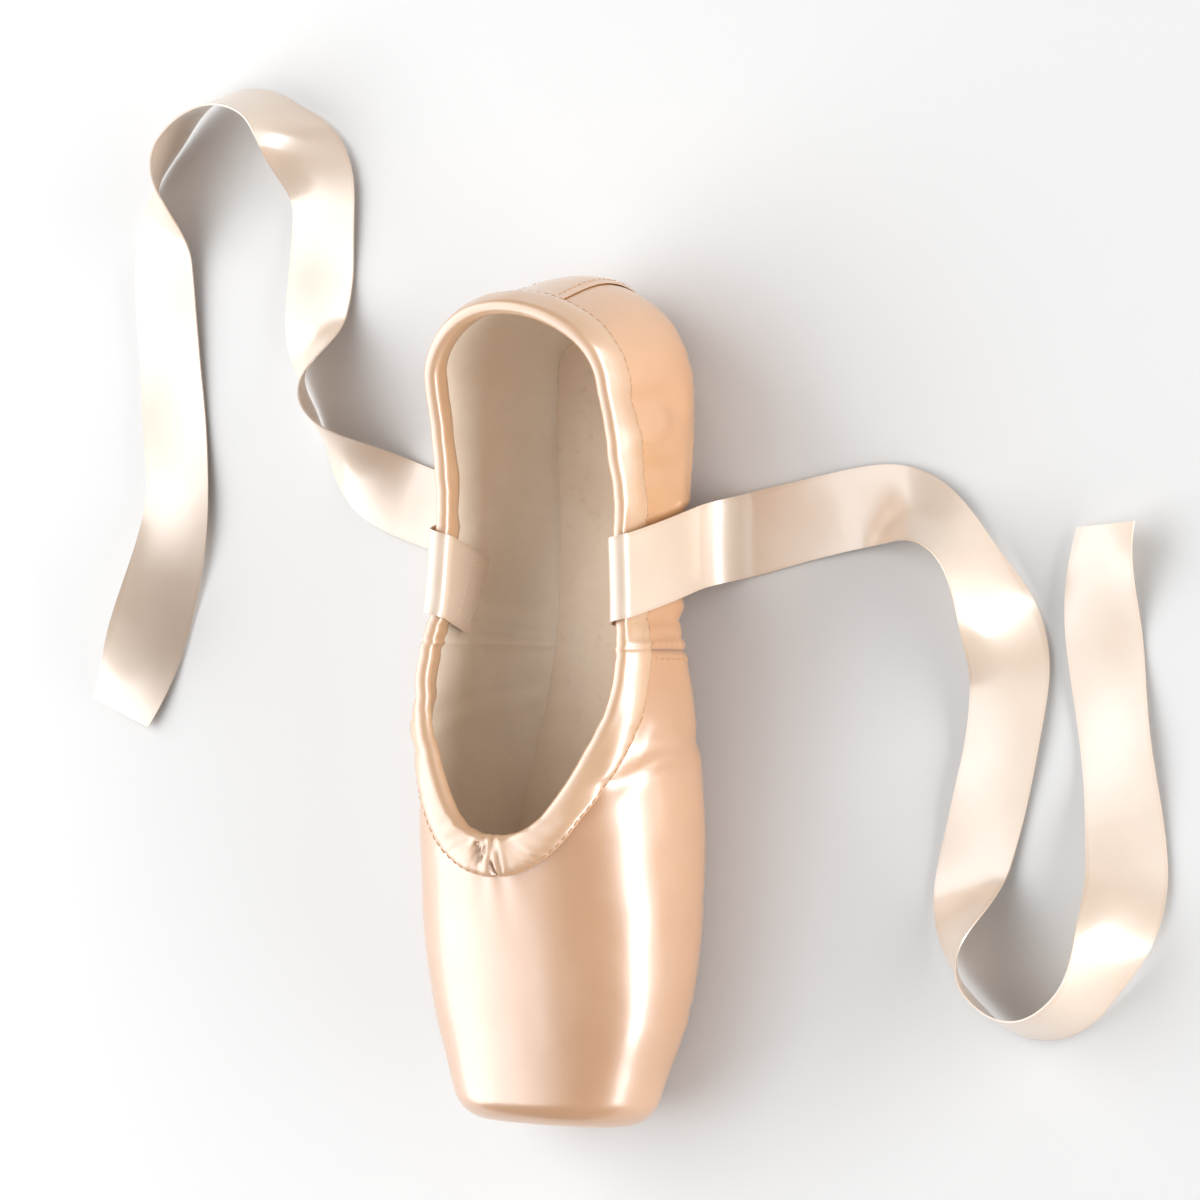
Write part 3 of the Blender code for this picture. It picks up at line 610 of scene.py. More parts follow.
# Folds of the satin. side: +1 or -1 for one side of the shoe, 0 for both; along and
# to_along: shares of the length from the toe; round and to_round: degrees up round the
# shoe from its widest level; width and height in millimetres, height below 0 a trough.
Fold = namedtuple("Fold", "side along round to_along to_round width height")
FOLDS = [Fold(*row) for row in (
    (1, 0.352, 66, 0.408, 42, 2.4, -0.88),
    (1, 0.402, 46, 0.446, 4, 2.2, -1.19),
    (1, 0.440, 8, 0.480, -48, 3.0, -0.90),
    (1, 0.425, 48, 0.470, 0, 2.6, 0.62),
    (1, 0.420, 54, 0.438, 30, 1.2, -0.62),
    (1, 0.441, 52, 0.455, 26, 1.2, -0.68),
    (1, 0.464, 48, 0.473, 22, 1.4, -0.68),
    (-1, 0.438, 44, 0.520, -54, 2.6, -1.27),
    (-1, 0.452, 46, 0.532, -50, 2.2, 0.98),
    (-1, 0.490, 40, 0.532, 4, 1.8, -0.60),
    (0, 0.580, 38, 0.577, -46, 1.2, -0.60),
    (1, 0.600, 36, 0.598, -46, 1.6, -1.05),
    (1, 0.616, 38, 0.622, -30, 1.6, 0.60),
    (-1, 0.600, 38, 0.596, -50, 1.7, -1.75),
    (-1, 0.615, 36, 0.612, -40, 1.9, 0.85),
    (1, 0.650, 34, 0.640, 4, 1.8, -0.75),
    (1, 0.640, 8, 0.652, -44, 2.0, -0.75),
    (-1, 0.672, 40, 0.648, 4, 2.0, -1.12),
    (-1, 0.648, 8, 0.656, -44, 2.2, -0.83),
    (0, 0.703, 36, 0.728, -44, 2.4, -0.83),
    (0, 0.718, 32, 0.746, -40, 2.2, 0.68),
    (0, 0.760, 34, 0.790, -10, 3.2, -0.83),
    (1, 0.800, 40, 0.835, 6, 3.0, 0.90),
    (1, 0.860, 46, 0.850, -6, 2.8, -0.90),
    (-1, 0.805, 34, 0.840, -12, 3.4, 0.83),
    (-1, 0.880, 42, 0.862, -20, 3.0, -0.90),
    (0, 0.530, -40, 0.700, -50, 2.6, -0.52),
    (0, 0.720, -34, 0.860, -42, 2.6, -0.83),
    (0, 0.735, -22, 0.860, -28, 2.4, 0.68),
    (1, 0.300, 70, 0.080, 56, 5.0, 0.22),
    (-1, 0.120, 20, 0.330, 34, 5.0, -0.20),
)]

# Gathers of the binding at the throat, in millimetres: where each starts across the
# throat, how far it leans for each millimetre down, its depths from and to, and its size.
Nick = namedtuple("Nick", "across lean top bottom width height")
NICKS = [Nick(*row) for row in (
    (-4.4, 0.45, -1.0, 5.0, 0.85, -1.70),
    (-2.6, 0.25, -1.0, 4.0, 0.80, 0.45),
    (-1.2, 0.10, -1.0, 3.4, 0.60, -0.70),
    (-0.9, 0.30, 4.2, 10.0, 0.80, -1.50),
    (1.2, 0.20, 0.5, 8.0, 0.80, 0.40),
    (2.9, 0.15, 1.0, 8.0, 0.65, -0.50),
    (5.6, 0.10, 2.0, 10.0, 0.90, -0.30),
    (-7.0, 0.35, -1.0, 7.0, 1.00, -0.30),
)]


def line_turns(count):
    """Turns of the upper's lines on one side, closer at the pleats and the side seam."""
    dense = np.linspace(0, 3, 1600)
    base, aim = spine(dense)
    outline = surface_hit(base, aim, np.zeros(len(dense)))
    s = outline[1:, 1]
    at_seam = np.exp(-((s - SEAM_FROM_TOE) / (5 * SEAM_WIDTH)) ** 2)
    at_toe = 1 - ease((s - SOLE_START) / (2 * SOLE_TOE_ROUND))
    total = running_total(step_lengths(outline) * (1 + 4 * at_seam + 1.5 * at_toe))
    return np.interp(np.linspace(0, total[-1], count + 1), total, dense)


def fine_grid(base, aim):
    """Outer surface of the upper and each point's depth below the collar edge."""
    opening = underside_rise(base, aim, OPENING_INSET)
    sole_edge = underside_rise(base, aim, SOLE_EDGE)
    points, rise = line_samples(base, aim, sole_edge, collar_rise(base, aim))
    rows = []
    for line, angles, lowest in zip(points, rise, opening):
        places = even_share(line, ROWS - 1, CORNER_WEIGHT)
        rows.append([lowest, *np.interp(places, np.arange(len(angles)), angles)])
    grid = hit_rows(base, aim, np.array(rows))
    return grid, depth_below(grid)


def pleat_relief(x, s, z):
    """Pleats that radiate from the outsole's toe end and fade toward the ball."""
    centre = SOLE_START + SOLE_TOE_ROUND
    ahead = np.maximum(centre - s, 0)
    angle = np.where(s < centre, np.arctan2(np.abs(x), ahead), math.pi / 2)
    sole_half = sole_half_width(centre)
    edge = 1 / np.hypot(np.sin(angle) / sole_half, np.cos(angle) / SOLE_TOE_ROUND)
    beside = np.where(s < centre, np.hypot(x, ahead) - edge, np.abs(x) - sole_half_width(s))
    away = np.hypot(beside, z - last_bottom(s))
    arc = angle * SOLE_TOE_ROUND + np.maximum(s - centre, 0) + 0.0017 * (x > 0)
    phase = arc / PLEAT_PITCH + 0.30 * np.sin(arc / 0.0071 + 1.3) + 0.16 * np.sin(arc / 0.0033)
    at_side = ease((s - SOLE_START) / SOLE_TOE_ROUND)
    groove = 1 - np.abs(np.sin(math.pi * phase)) ** (0.75 + 1.25 * at_side)
    reach = PLEAT_REACH * (0.8 + 0.35 * np.sin(arc / 0.0042 + 0.6))
    fade = (1 - ease(away / reach)) * ease(beside / 0.0012)
    centre_panel = 0.18 + 0.82 * ease((angle - math.radians(14)) / math.radians(22))
    along = 1 - ease((s - 0.062) / 0.040)
    low = (1 - ease((z - 0.7 * WIDEST_LEVEL) / (0.5 * WIDEST_LEVEL))) * ease((s - 0.005) / 0.011)
    return -PLEAT_DEPTH * (1 - 0.6 * at_side) * groove * fade * centre_panel * along * low


def heel_relief(x, s, z):
    """Small gathers round the lower edge of the heel."""
    back = np.maximum(s - HEEL_AXIS, 0)
    arc = np.arctan2(back, np.abs(x)) * HEEL_BACK + np.minimum(s - HEEL_AXIS, 0) + 0.0021 * (x > 0)
    phase = arc / HEEL_GATHER_PITCH + 0.35 * np.sin(arc / 0.0063 + 0.4)
    groove = 1 - np.abs(np.sin(math.pi * phase)) ** 0.8
    height = (z - last_bottom(HEEL_AXIS)) / (0.75 * WIDEST_LEVEL)
    fade = ease(height * 5) * (1 - ease(height))
    along = ease((s - (HEEL_AXIS - 0.030)) / 0.020)
    under_strip = ease((np.abs(x) - 0.4 * STRIP_WIDTH) / (0.2 * STRIP_WIDTH) + 1 * (s < HEEL_AXIS))
    return -HEEL_GATHER_DEPTH * groove * fade * along * under_strip


def seam_relief(s, z):
    """The side seam: a narrow groove between two low rolls, with fine puckers."""
    off = s - SEAM_FROM_TOE
    groove = -SEAM_DEPTH * np.exp(-(off / SEAM_WIDTH) ** 2)
    rolls = 0.6 * SEAM_DEPTH * np.exp(-((np.abs(off) - 3.4 * SEAM_WIDTH) / (2.2 * SEAM_WIDTH)) ** 2)
    pucker = np.sin(2 * math.pi * z / SEAM_PUCKER_PITCH + 2 * np.sin(z / 0.004))
    return groove + rolls * (1 + 0.35 * pucker)


def throat_relief(x, s, depth):
    """Short gathers where the drawstring pulls the binding together at the throat."""
    angle = np.arctan2(x, VAMP_LENGTH + 0.012 - s)
    near = np.exp(-(x / 0.015) ** 2) * np.exp(-depth / 0.011) * (s < FAN_AXIS)
    waves = np.cos(angle * 15 + 1.3 * np.sin(angle * 5) + 0.7)
    return THROAT_GATHER_DEPTH * near * waves


def collar_relief(x, s, depth):
    """Little gathers all along the collar, from the drawstring in the binding."""
    arc = s + 0.35 * np.abs(x)
    waves = np.sin(arc / 0.0011 + 2.2 * np.sin(arc / 0.0047)) * (0.6 + 0.4 * np.sin(arc / 0.0091))
    return COLLAR_GATHER_DEPTH * waves * np.exp(-depth / 0.008) * ease((s - FAN_AXIS) / 0.02)


def fold_relief(x, s, z):
    """Troughs and ridges of the satin, from the table of folds."""
    round_arc = np.arctan2(z - WIDEST_LEVEL, np.abs(x)) * ROUND_RADIUS
    relief = np.zeros_like(x)
    for fold in FOLDS:
        start = np.array([fold.along * LENGTH, math.radians(fold.round) * ROUND_RADIUS])
        end = np.array([fold.to_along * LENGTH, math.radians(fold.to_round) * ROUND_RADIUS])
        way = end - start
        share = ((s - start[0]) * way[0] + (round_arc - start[1]) * way[1]) / (way @ way)
        across = ((s - start[0]) * way[1] - (round_arc - start[1]) * way[0]) / math.hypot(*way)
        wobble = 0.0009 * np.sin(share * 7 + fold.along * 40)
        fade = ease(share / 0.3 + 0.35) * ease((1 - share) / 0.3 + 0.35)
        shown = 1.0 if fold.side == 0 else ease(x * fold.side / 0.004 + 0.5)
        bell = np.exp(-((across + wobble) / (fold.width * 0.001)) ** 2)
        relief += fold.height * 0.001 * bell * fade * shown
    return relief


def soft_relief(x, s, z):
    """Broad unevenness: slight on the box, more on the soft quarters."""
    soft = BOX_UNEVENNESS + QUARTER_UNEVENNESS * ease((s - FAN_AXIS) / 0.05)
    waves = np.sin(s / 0.0093 + x / 0.013 + 0.6) * np.sin(z / 0.0087 + s / 0.021)
    fine = 0.35 * np.sin(s / 0.0041 + z / 0.0052 + 2 * np.sin(x / 0.012))
    return soft * (waves + fine)


def upper_relief(points, depth):
    """How far the satin stands off the last's plain surface."""
    x, s, z = np.moveaxis(points, -1, 0)
    beside = np.abs(x) - outline_half_width(s, 0)
    open_air = np.where(z < last_bottom(s) + 0.004, ease(beside / 0.003), 1)
    relief = seam_relief(s, z) + fold_relief(x, s, z) + soft_relief(x, s, z) + heel_relief(x, s, z)
    relief = relief * open_air + pleat_relief(x, s, z)
    platform = ease(s / 0.012)
    return relief * platform + throat_relief(x, s, depth) + collar_relief(x, s, depth)


def clothed(points, depth):
    """Points of the satin's surface and the plain surface's normals."""
    normal = last_normal(points)
    return points + normal * upper_relief(points, depth)[..., None], normal


def piece(name, vertices, faces, uvs, materials, slots, smooth_angle=60):
    """A mesh object from faces, a UV pair for each of their corners and material slots."""
    faces = [tuple(map(int, face)) for face in faces]
    points = np.asarray(vertices, float)
    if signed_volume(points, faces) < 0:
        faces = [face[::-1] for face in faces]
        uvs = [pair[::-1] for pair in uvs]
    mesh = bpy.data.meshes.new(name)
    mesh.from_pydata(points.tolist(), [], faces)
    layer = mesh.uv_layers.new(name="threads")
    layer.data.foreach_set("uv", np.concatenate([np.ravel(pair) for pair in uvs]))
    for material in materials:
        mesh.materials.append(material)
    mesh.polygons.foreach_set("material_index", list(slots))
    mesh.shade_smooth()
    mesh.set_sharp_from_angle(angle=math.radians(smooth_angle))
    obj = bpy.data.objects.new(name, mesh)
    bpy.context.collection.objects.link(obj)
    return obj


def signed_volume(points, faces):
    """Volume inside closed faces, negative where they point inward."""
    total = 0.0
    for size in {len(face) for face in faces}:
        same = np.array([face for face in faces if len(face) == size])
        first = points[same[:, 0]]
        for k in range(1, size - 1):
            total += (first * np.cross(points[same[:, k]], points[same[:, k + 1]])).sum()
    return total


def satin_uvs(grid):
    """Threads of the upper: distance round from its middle line, and distance from the toe."""
    x, s, z = np.moveaxis(np.concatenate([grid, grid[:1]]), -1, 0)
    girth = np.arctan2(np.abs(x), z - WIDEST_LEVEL) * ROUND_RADIUS
    return np.stack([girth, s], axis=-1)


def arc_uvs(grid, wrap):
    """Lengths across and along a grid, in metres, with one more column where it wraps."""
    across = step_lengths(grid[:, grid.shape[1] // 2])
    last = [np.median(across)] if wrap else []
    u = running_total(np.concatenate([across, last]))
    v = running_total(step_lengths(grid))
    if wrap:
        v = np.concatenate([v, v[:1]])
    return np.stack([np.repeat(u[:, None], grid.shape[1], axis=1), v], axis=-1)


def wall_piece(name, outer, inner, wrap, outer_material, inner_material, uv=None):
    """A closed wall between two grids, its two faces with a material each."""
    lines, rows = outer.shape[:2]
    count = lines * rows
    if uv is None:
        uv = arc_uvs(outer, wrap)
    spans = lines if wrap else lines - 1
    end = rows - 1
    faces, uvs, slots = [], [], []

    def add(corners, places, slot):
        faces.append(corners)
        uvs.append([uv[place] for place in places])
        slots.append(slot)

    for i in range(spans):
        a, b = i * rows, ((i + 1) % lines) * rows
        for j in range(rows - 1):
            square = [(i, j), (i + 1, j), (i + 1, j + 1), (i, j + 1)]
            corners = (a + j, b + j, b + j + 1, a + j + 1)
            add(corners, square, 0)
            add(tuple(count + c for c in corners[::-1]), square[::-1], 1)
        add((b, a, count + a, count + b), [(i + 1, 0), (i, 0), (i, 0), (i + 1, 0)], 0)
        add((a + end, b + end, count + b + end, count + a + end),
            [(i, end), (i + 1, end), (i + 1, end), (i, end)], 0)
    if not wrap:
        far = lines - 1
        z = far * rows
        for j in range(rows - 1):
            add((j, j + 1, count + j + 1, count + j), [(0, j), (0, j + 1), (0, j + 1), (0, j)], 0)
            add((z + j + 1, z + j, count + z + j, count + z + j + 1),
                [(far, j + 1), (far, j), (far, j), (far, j + 1)], 0)
    vertices = np.concatenate([outer.reshape(-1, 3), inner.reshape(-1, 3)])
    return piece(name, to_world(vertices), faces, uvs, [outer_material, inner_material], slots)


def tube_piece(name, grid, material):
    """A closed ring of a closed section: both ways round the grid wrap."""
    lines, rows = grid.shape[:2]
    ring = np.concatenate([grid, grid[:, :1]], axis=1)
    uv = arc_uvs(ring, True)
    faces, uvs = [], []
    for i in range(lines):
        a, b = i * rows, ((i + 1) % lines) * rows
        for j in range(rows):
            k = (j + 1) % rows
            faces.append((a + j, b + j, b + k, a + k))
            uvs.append([uv[i, j], uv[i + 1, j], uv[i + 1, j + 1], uv[i, j + 1]])
    return piece(name, to_world(grid.reshape(-1, 3)), faces, uvs, [material], [0] * len(faces))


def plate_piece(name, rings, slots, materials):
    """A plate through stacked rings, first and last filled; a material slot per level."""
    size = len(rings[0])
    points = np.concatenate(rings)
    faces, levels = [], []
    for level in range(len(rings) - 1):
        for i in range(size):
            a, b = level * size + i, level * size + (i + 1) % size
            faces.append((a, b, b + size, a + size))
            levels.append(slots[level])
    last = (len(rings) - 1) * size
    for i in range(size // 2 - 1):
        faces.append((size - 1 - i, size - 2 - i, i + 1, i))
        levels.append(slots[-2])
        faces.append((last + i, last + i + 1, last + size - 2 - i, last + size - 1 - i))
        levels.append(slots[-1])
    uvs = [[points[corner][:2] for corner in face] for face in faces]
    return piece(name, to_world(points), faces, uvs, materials, levels, smooth_angle=50)


def stitch_rows(name, rows, pitch, material):
    """Rows of short raised threads, each along a path with the surface's normals."""
    vertices, faces = [], []
    for path, normal in rows:
        total = running_total(step_lengths(path))
        for middle in np.arange(pitch / 2, total[-1], pitch):
            ahead, at, behind = (
                np.array([np.interp(middle + step, total, path[:, k]) for k in range(3)])
                for step in (pitch / 4, 0, -pitch / 4))
            up = np.array([np.interp(middle, total, normal[:, k]) for k in range(3)])
            add_stitch(vertices, faces, at, up, ahead - behind)
    uvs = [[(0.0, 0.0)] * len(face) for face in faces]
    return piece(name, to_world(np.array(vertices)), faces, uvs, [material], [0] * len(faces))


def add_stitch(vertices, faces, at, up, way):
    """One thread, thick in the middle, sunk at both ends."""
    way = way / np.linalg.norm(way)
    side = np.cross(up, way)
    turns = np.radians(range(0, 360, 60))
    sides = len(turns)
    profile = [(-0.5, 0.25), (-0.38, 0.85), (0.0, 1.0), (0.38, 0.85), (0.5, 0.25)]
    offset = len(vertices)
    for along, wide in profile:
        sunk = at - up * STITCH_RADIUS * (1 - wide)
        for turn in turns:
            ring = side * math.cos(turn) * 1.15 + up * math.sin(turn)
            vertices.append(sunk + way * along * STITCH_LENGTH + ring * STITCH_RADIUS * wide)
    for i in range(len(profile) - 1):
        for j in range(sides):
            a, b = offset + i * sides, offset + (i + 1) * sides
            faces.append((a + j, a + (j + 1) % sides, b + (j + 1) % sides, b + j))
    end = len(vertices) - sides
    faces.append(tuple(range(offset + sides - 1, offset - 1, -1)))
    faces.append(tuple(range(end, end + sides)))


def feed(tree, made, inputs):
    """Links or values for the inputs of a shader node."""
    for key, value in inputs.items():
        if isinstance(value, bpy.types.NodeSocket):
            tree.links.new(value, made.inputs[key])
        else:
            made.inputs[key].default_value = value


def node(tree, kind, inputs=None, **settings):
    """A shader node with its settings and inputs."""
    made = tree.nodes.new(kind)
    for key, value in settings.items():
        setattr(made, key, value)
    feed(tree, made, inputs or {})
    return made


def new_material(name):
    """A material and its tree, Principled shader and object coordinates."""
    material = bpy.data.materials.new(name)
    material.use_nodes = True
    tree = material.node_tree
    shader = tree.nodes["Principled BSDF"]
    places = node(tree, "ShaderNodeTexCoord").outputs["Object"]
    return material, tree, shader, places


def noise(tree, places, scale, detail=3.0, roughness=0.5):
    made = node(tree, "ShaderNodeTexNoise", {"Vector": places, "Scale": scale, "Detail": detail,
                                             "Roughness": roughness})
    return made.outputs["Fac"]


def mix(tree, factor, first, second):
    """A colour between two, each a colour or a socket."""
    colours = [c if isinstance(c, bpy.types.NodeSocket) else (*c, 1.0) for c in (first, second)]
    inputs = {0: factor, **dict(zip(MIX_INPUTS, colours))}
    return node(tree, "ShaderNodeMix", inputs, data_type="RGBA").outputs[MIX_OUTPUT]


def ramp(tree, value, low, high, out_low=0.0, out_high=1.0):
    made = node(tree, "ShaderNodeMapRange", {"Value": value, "From Min": low, "From Max": high,
                                             "To Min": out_low, "To Max": out_high},
                interpolation_type="SMOOTHSTEP")
    return made.outputs["Result"]


def math_node(tree, operation, first, second):
    made = node(tree, "ShaderNodeMath", {0: first, 1: second}, operation=operation)
    return made.outputs["Value"]


def times(tree, first, second):
    return math_node(tree, "MULTIPLY", first, second)


def blotched(tree, places, scale, first, second):
    """A colour that wanders between two in broad soft patches."""
    return mix(tree, ramp(tree, noise(tree, places, scale, detail=4.0), 0.35, 0.7), first, second)


def bump(tree, height, distance, strength=1.0, under=None):
    inputs = {"Height": height, "Distance": distance, "Strength": strength}
    if under is not None:
        inputs["Normal"] = under
    return node(tree, "ShaderNodeBump", inputs).outputs["Normal"]


def thread_height(tree, across, along):
    """Fine threads that run along the second UV direction."""
    uv = node(tree, "ShaderNodeUVMap", uv_map="threads").outputs["UV"]
    scaled = node(tree, "ShaderNodeMapping", {"Vector": uv, "Scale": (across, along, 1.0)})
    return noise(tree, scaled.outputs["Vector"], 1.0, detail=2.0)


def satin_shader(tree, shader, colour, places, roughness, crinkle):
    """Glossy satin: fine threads, faint crinkles and a soft bright sheen."""
    threads = thread_height(tree, 4200.0, 260.0)
    creases = noise(tree, places, 70.0, detail=2.0, roughness=0.4)
    rough = ramp(tree, noise(tree, places, 60.0, detail=5.0), 0.3, 0.7, roughness - 0.02, roughness + 0.06)
    fine = bump(tree, threads, 0.00002, 0.7)
    tangent = node(tree, "ShaderNodeTangent", direction_type="UV_MAP", uv_map="threads")
    feed(tree, shader, {
        "Normal": bump(tree, creases, crinkle, 0.8, fine), "Base Color": colour, "Roughness": rough,
        "Tangent": tangent.outputs["Tangent"], "Anisotropic": 0.35,
        "Sheen Weight": 0.08, "Sheen Roughness": 0.4, "Sheen Tint": (1.0, 0.86, 0.72, 1.0),
        "IOR": 1.85, "Specular IOR Level": 0.9,
        "Coat Weight": 0.8, "Coat IOR": 1.75, "Coat Roughness": 0.2,
    })


def plain_satin(name, scale, first, second, roughness):
    """Satin that wanders between two close colours."""
    material, tree, shader, places = new_material(name)
    satin_shader(tree, shader, blotched(tree, places, scale, first, second), places, roughness, CRINKLE)
    return material


def binding_material():
    return plain_satin("binding_satin", 60.0, (0.64, 0.385, 0.215), (0.575, 0.33, 0.175), 0.42)


def strip_material():
    """Satin of the strip on the back seam, a little creamier and paler than the quarters: the paler colour
    is a painted highlight of its curved back.
    """
    return plain_satin("strip_satin", 50.0, (0.66, 0.40, 0.23), (0.60, 0.345, 0.185), 0.34)


def satin_material():
    """Satin of the upper: paler on the box, more orange on the quarters, worn low down."""
    material, tree, shader, places = new_material("satin")
    parts = node(tree, "ShaderNodeSeparateXYZ", {"Vector": places}).outputs
    box = blotched(tree, places, 26.0, (0.58, 0.315, 0.165), (0.53, 0.28, 0.14))
    quarter = blotched(tree, places, 26.0, (0.64, 0.335, 0.15), (0.58, 0.285, 0.12))
    satin = mix(tree, ramp(tree, parts["Y"], 0.030, 0.072), box, quarter)
    seam = SEAM_FROM_TOE - BALL_FROM_TOE
    before = ramp(tree, parts["Y"], seam - 0.0006, seam - 0.0001)
    after = ramp(tree, parts["Y"], seam + 0.0001, seam + 0.0006, 1.0, 0.0)
    satin = mix(tree, times(tree, times(tree, before, after), 0.75), satin, (0.20, 0.09, 0.045))
    low = ramp(tree, parts["Z"], 0.003, 0.015, 1.0, 0.0)
    soiled = times(tree, low, ramp(tree, noise(tree, places, 140.0, detail=6.0), 0.38, 0.66))
    colour = mix(tree, times(tree, soiled, 0.55), satin, (0.36, 0.22, 0.14))
    satin_shader(tree, shader, colour, places, 0.31, CRINKLE)
    return material


def ribbon_material():
    """Ribbon satin with a matt woven edge on each side."""
    material, tree, shader, places = new_material("ribbon_satin")
    uv = node(tree, "ShaderNodeUVMap", uv_map="threads").outputs["UV"]
    across = node(tree, "ShaderNodeSeparateXYZ", {"Vector": uv}).outputs["X"]
    face = blotched(tree, places, 40.0, (0.73, 0.58, 0.455), (0.69, 0.535, 0.41))
    near = ramp(tree, across, *WOVEN_EDGE, 1.0, 0.0)
    far = ramp(tree, across, RIBBON_WIDTH - WOVEN_EDGE[1], RIBBON_WIDTH - WOVEN_EDGE[0])
    edge = math_node(tree, "ADD", near, far)
    colour = mix(tree, times(tree, edge, 0.6), face, (0.66, 0.49, 0.36))
    satin_shader(tree, shader, colour, places, 0.38, RIBBON_CRINKLE)
    return material


def lining_material():
    """Plain cotton lining: matt, with a fine square weave."""
    material, tree, shader, places = new_material("cotton_lining")
    blotch = noise(tree, places, 35.0, detail=5.0)
    colour = mix(tree, ramp(tree, blotch, 0.3, 0.75), (0.90, 0.79, 0.67), (0.83, 0.71, 0.58))
    one_way = thread_height(tree, 2600.0, 500.0)
    other_way = thread_height(tree, 500.0, 2600.0)
    weave = math_node(tree, "ADD", one_way, other_way)
    feed(tree, shader, {"Base Color": colour, "Normal": bump(tree, weave, 0.00015, 0.8),
                        "Roughness": 0.92, "Sheen Weight": 0.2})
    return material


def spot(tree, places, centre, radius):
    """1 within a radius of a point, fading to 0 just outside it."""
    away = node(tree, "ShaderNodeVectorMath", {0: places, 1: centre}, operation="DISTANCE").outputs["Value"]
    return ramp(tree, away, 0.6 * radius, 1.3 * radius, 1.0, 0.0)


def leather_material(name, first, second, dark, roughness, nails=()):
    """Leather with a fine grain, blotches, dark scuffs and nail marks."""
    material, tree, shader, places = new_material(name)
    blotch = ramp(tree, noise(tree, places, 48.0, detail=6.0), 0.32, 0.68)
    scuffs = ramp(tree, noise(tree, places, 210.0, detail=7.0, roughness=0.7), 0.55, 0.72)
    colour = mix(tree, times(tree, scuffs, 0.45), mix(tree, blotch, first, second), dark)
    cells = node(tree, "ShaderNodeTexVoronoi", {"Vector": places, "Scale": 1500.0}).outputs["Distance"]
    for nail in nails:
        centre = (0.0, nail.from_toe - BALL_FROM_TOE, float(sole_lift(nail.from_toe)))
        colour = mix(tree, times(tree, spot(tree, places, centre, nail.radius), nail.strength), colour, dark)
    grain = bump(tree, cells, 0.00008, 0.6)
    dents = bump(tree, noise(tree, places, 160.0, detail=5.0), 0.0002, 0.6, grain)
    feed(tree, shader, {"Base Color": colour, "Normal": dents, "Roughness": roughness,
                        "Specular IOR Level": 0.4})
    return material


def thread_material(name, first, second):
    material, tree, shader, places = new_material(name)
    fibres = bump(tree, noise(tree, places, 4000.0), 0.0001)
    feed(tree, shader, {"Base Color": mix(tree, noise(tree, places, 900.0), first, second),
                        "Normal": fibres, "Roughness": 0.55})
    return material


def floor_material():
    material, tree, shader, places = new_material("pale_floor")
    colour = mix(tree, noise(tree, places, 3.0), (0.735, 0.735, 0.735), (0.75, 0.75, 0.75))
    feed(tree, shader, {"Base Color": colour, "Roughness": 0.8})
    return material


def make_upper(satin, lining):
    """The satin upper with its folds, pleats and seams, and its lining inside."""
    base, aim = mirrored_lines(LINES_A_SIDE)
    grid, depth = fine_grid(base, aim)
    outer, normal = clothed(grid, depth)
    s = grid[..., 1]
    settle = 0.6 * softness(s) * upper_relief(grid, depth)
    inner = grid - normal * (wall_thickness(s) - settle)[..., None]
    upper = wall_piece("upper_satin", outer, inner, True, satin, lining, satin_uvs(grid))
    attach(upper, "root")
    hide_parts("upper")
    return base, aim


def binding_grid(base, aim):
    """Section of the binding at each line, down its outside and round the collar edge."""
    outside = BINDING_OUTSIDE * np.array([1.0, 0.985, 0.93, 0.80, 0.62, 0.42, 0.22, 0.06])
    plump = np.array([0.35, 1.15, 1.70, 2.20, 2.45, 2.25, 1.75, 1.25])
    inside = BINDING_INSIDE * np.array([0.08, 0.35, 0.70, 0.96, 1.0])
    hug = np.array([1.0, 1.0, 1.0, 0.85, 0.45])
    depths = np.concatenate([outside, inside, [0.0]])
    plain, way_up = collar_frames(base, aim, depths)
    shown_depth = np.repeat(depths[None], len(base), axis=0)
    points, normal = clothed(plain, shown_depth)
    gather = binding_gather(plain, shown_depth)
    wall = wall_thickness(plain[..., 1])[..., None]
    n_out, n_in = len(outside), len(inside)
    past_ribbon = (np.abs(plain[:, :n_out, 1] - RIBBON_FROM_TOE) - 0.6 * RIBBON_WIDTH) / 0.006
    pressed = 0.5 + 0.5 * ease(past_ribbon)
    thick = (BINDING_THICKNESS * plump[None] * pressed + gather[:, :n_out])[..., None]
    outer = points[:, :n_out] + normal[:, :n_out] * (GAP + thick)
    edge, edge_normal = points[:, -1], normal[:, -1]
    edge_wall = wall[:, -1]
    roll = edge_wall / 2 + GAP + BINDING_THICKNESS
    centre = edge - edge_normal * edge_wall / 2
    arch = [centre + roll * (edge_normal * math.cos(a) + way_up * 0.85 * math.sin(a))
            for a in np.radians([14, 42, 70, 98, 126, 154, 174])]
    in_points, in_normal = points[:, n_out:n_out + n_in], normal[:, n_out:n_out + n_in]
    in_wall = wall[:, n_out:n_out + n_in]
    inner_leg = in_points - in_normal * (in_wall + GAP + BINDING_THICKNESS * hug[None, :, None])
    under_leg = in_points[:, ::-2] - in_normal[:, ::-2] * (in_wall[:, ::-2] + GAP)
    under_top = [edge - edge_normal * (edge_wall + GAP) + way_up * GAP,
                 edge + edge_normal * GAP + way_up * GAP]
    under_out = points[:, n_out - 1::-2] + normal[:, n_out - 1::-2] * GAP
    return np.concatenate([outer, np.stack(arch, axis=1), inner_leg, under_leg,
                           np.stack(under_top, axis=1), under_out], axis=1)


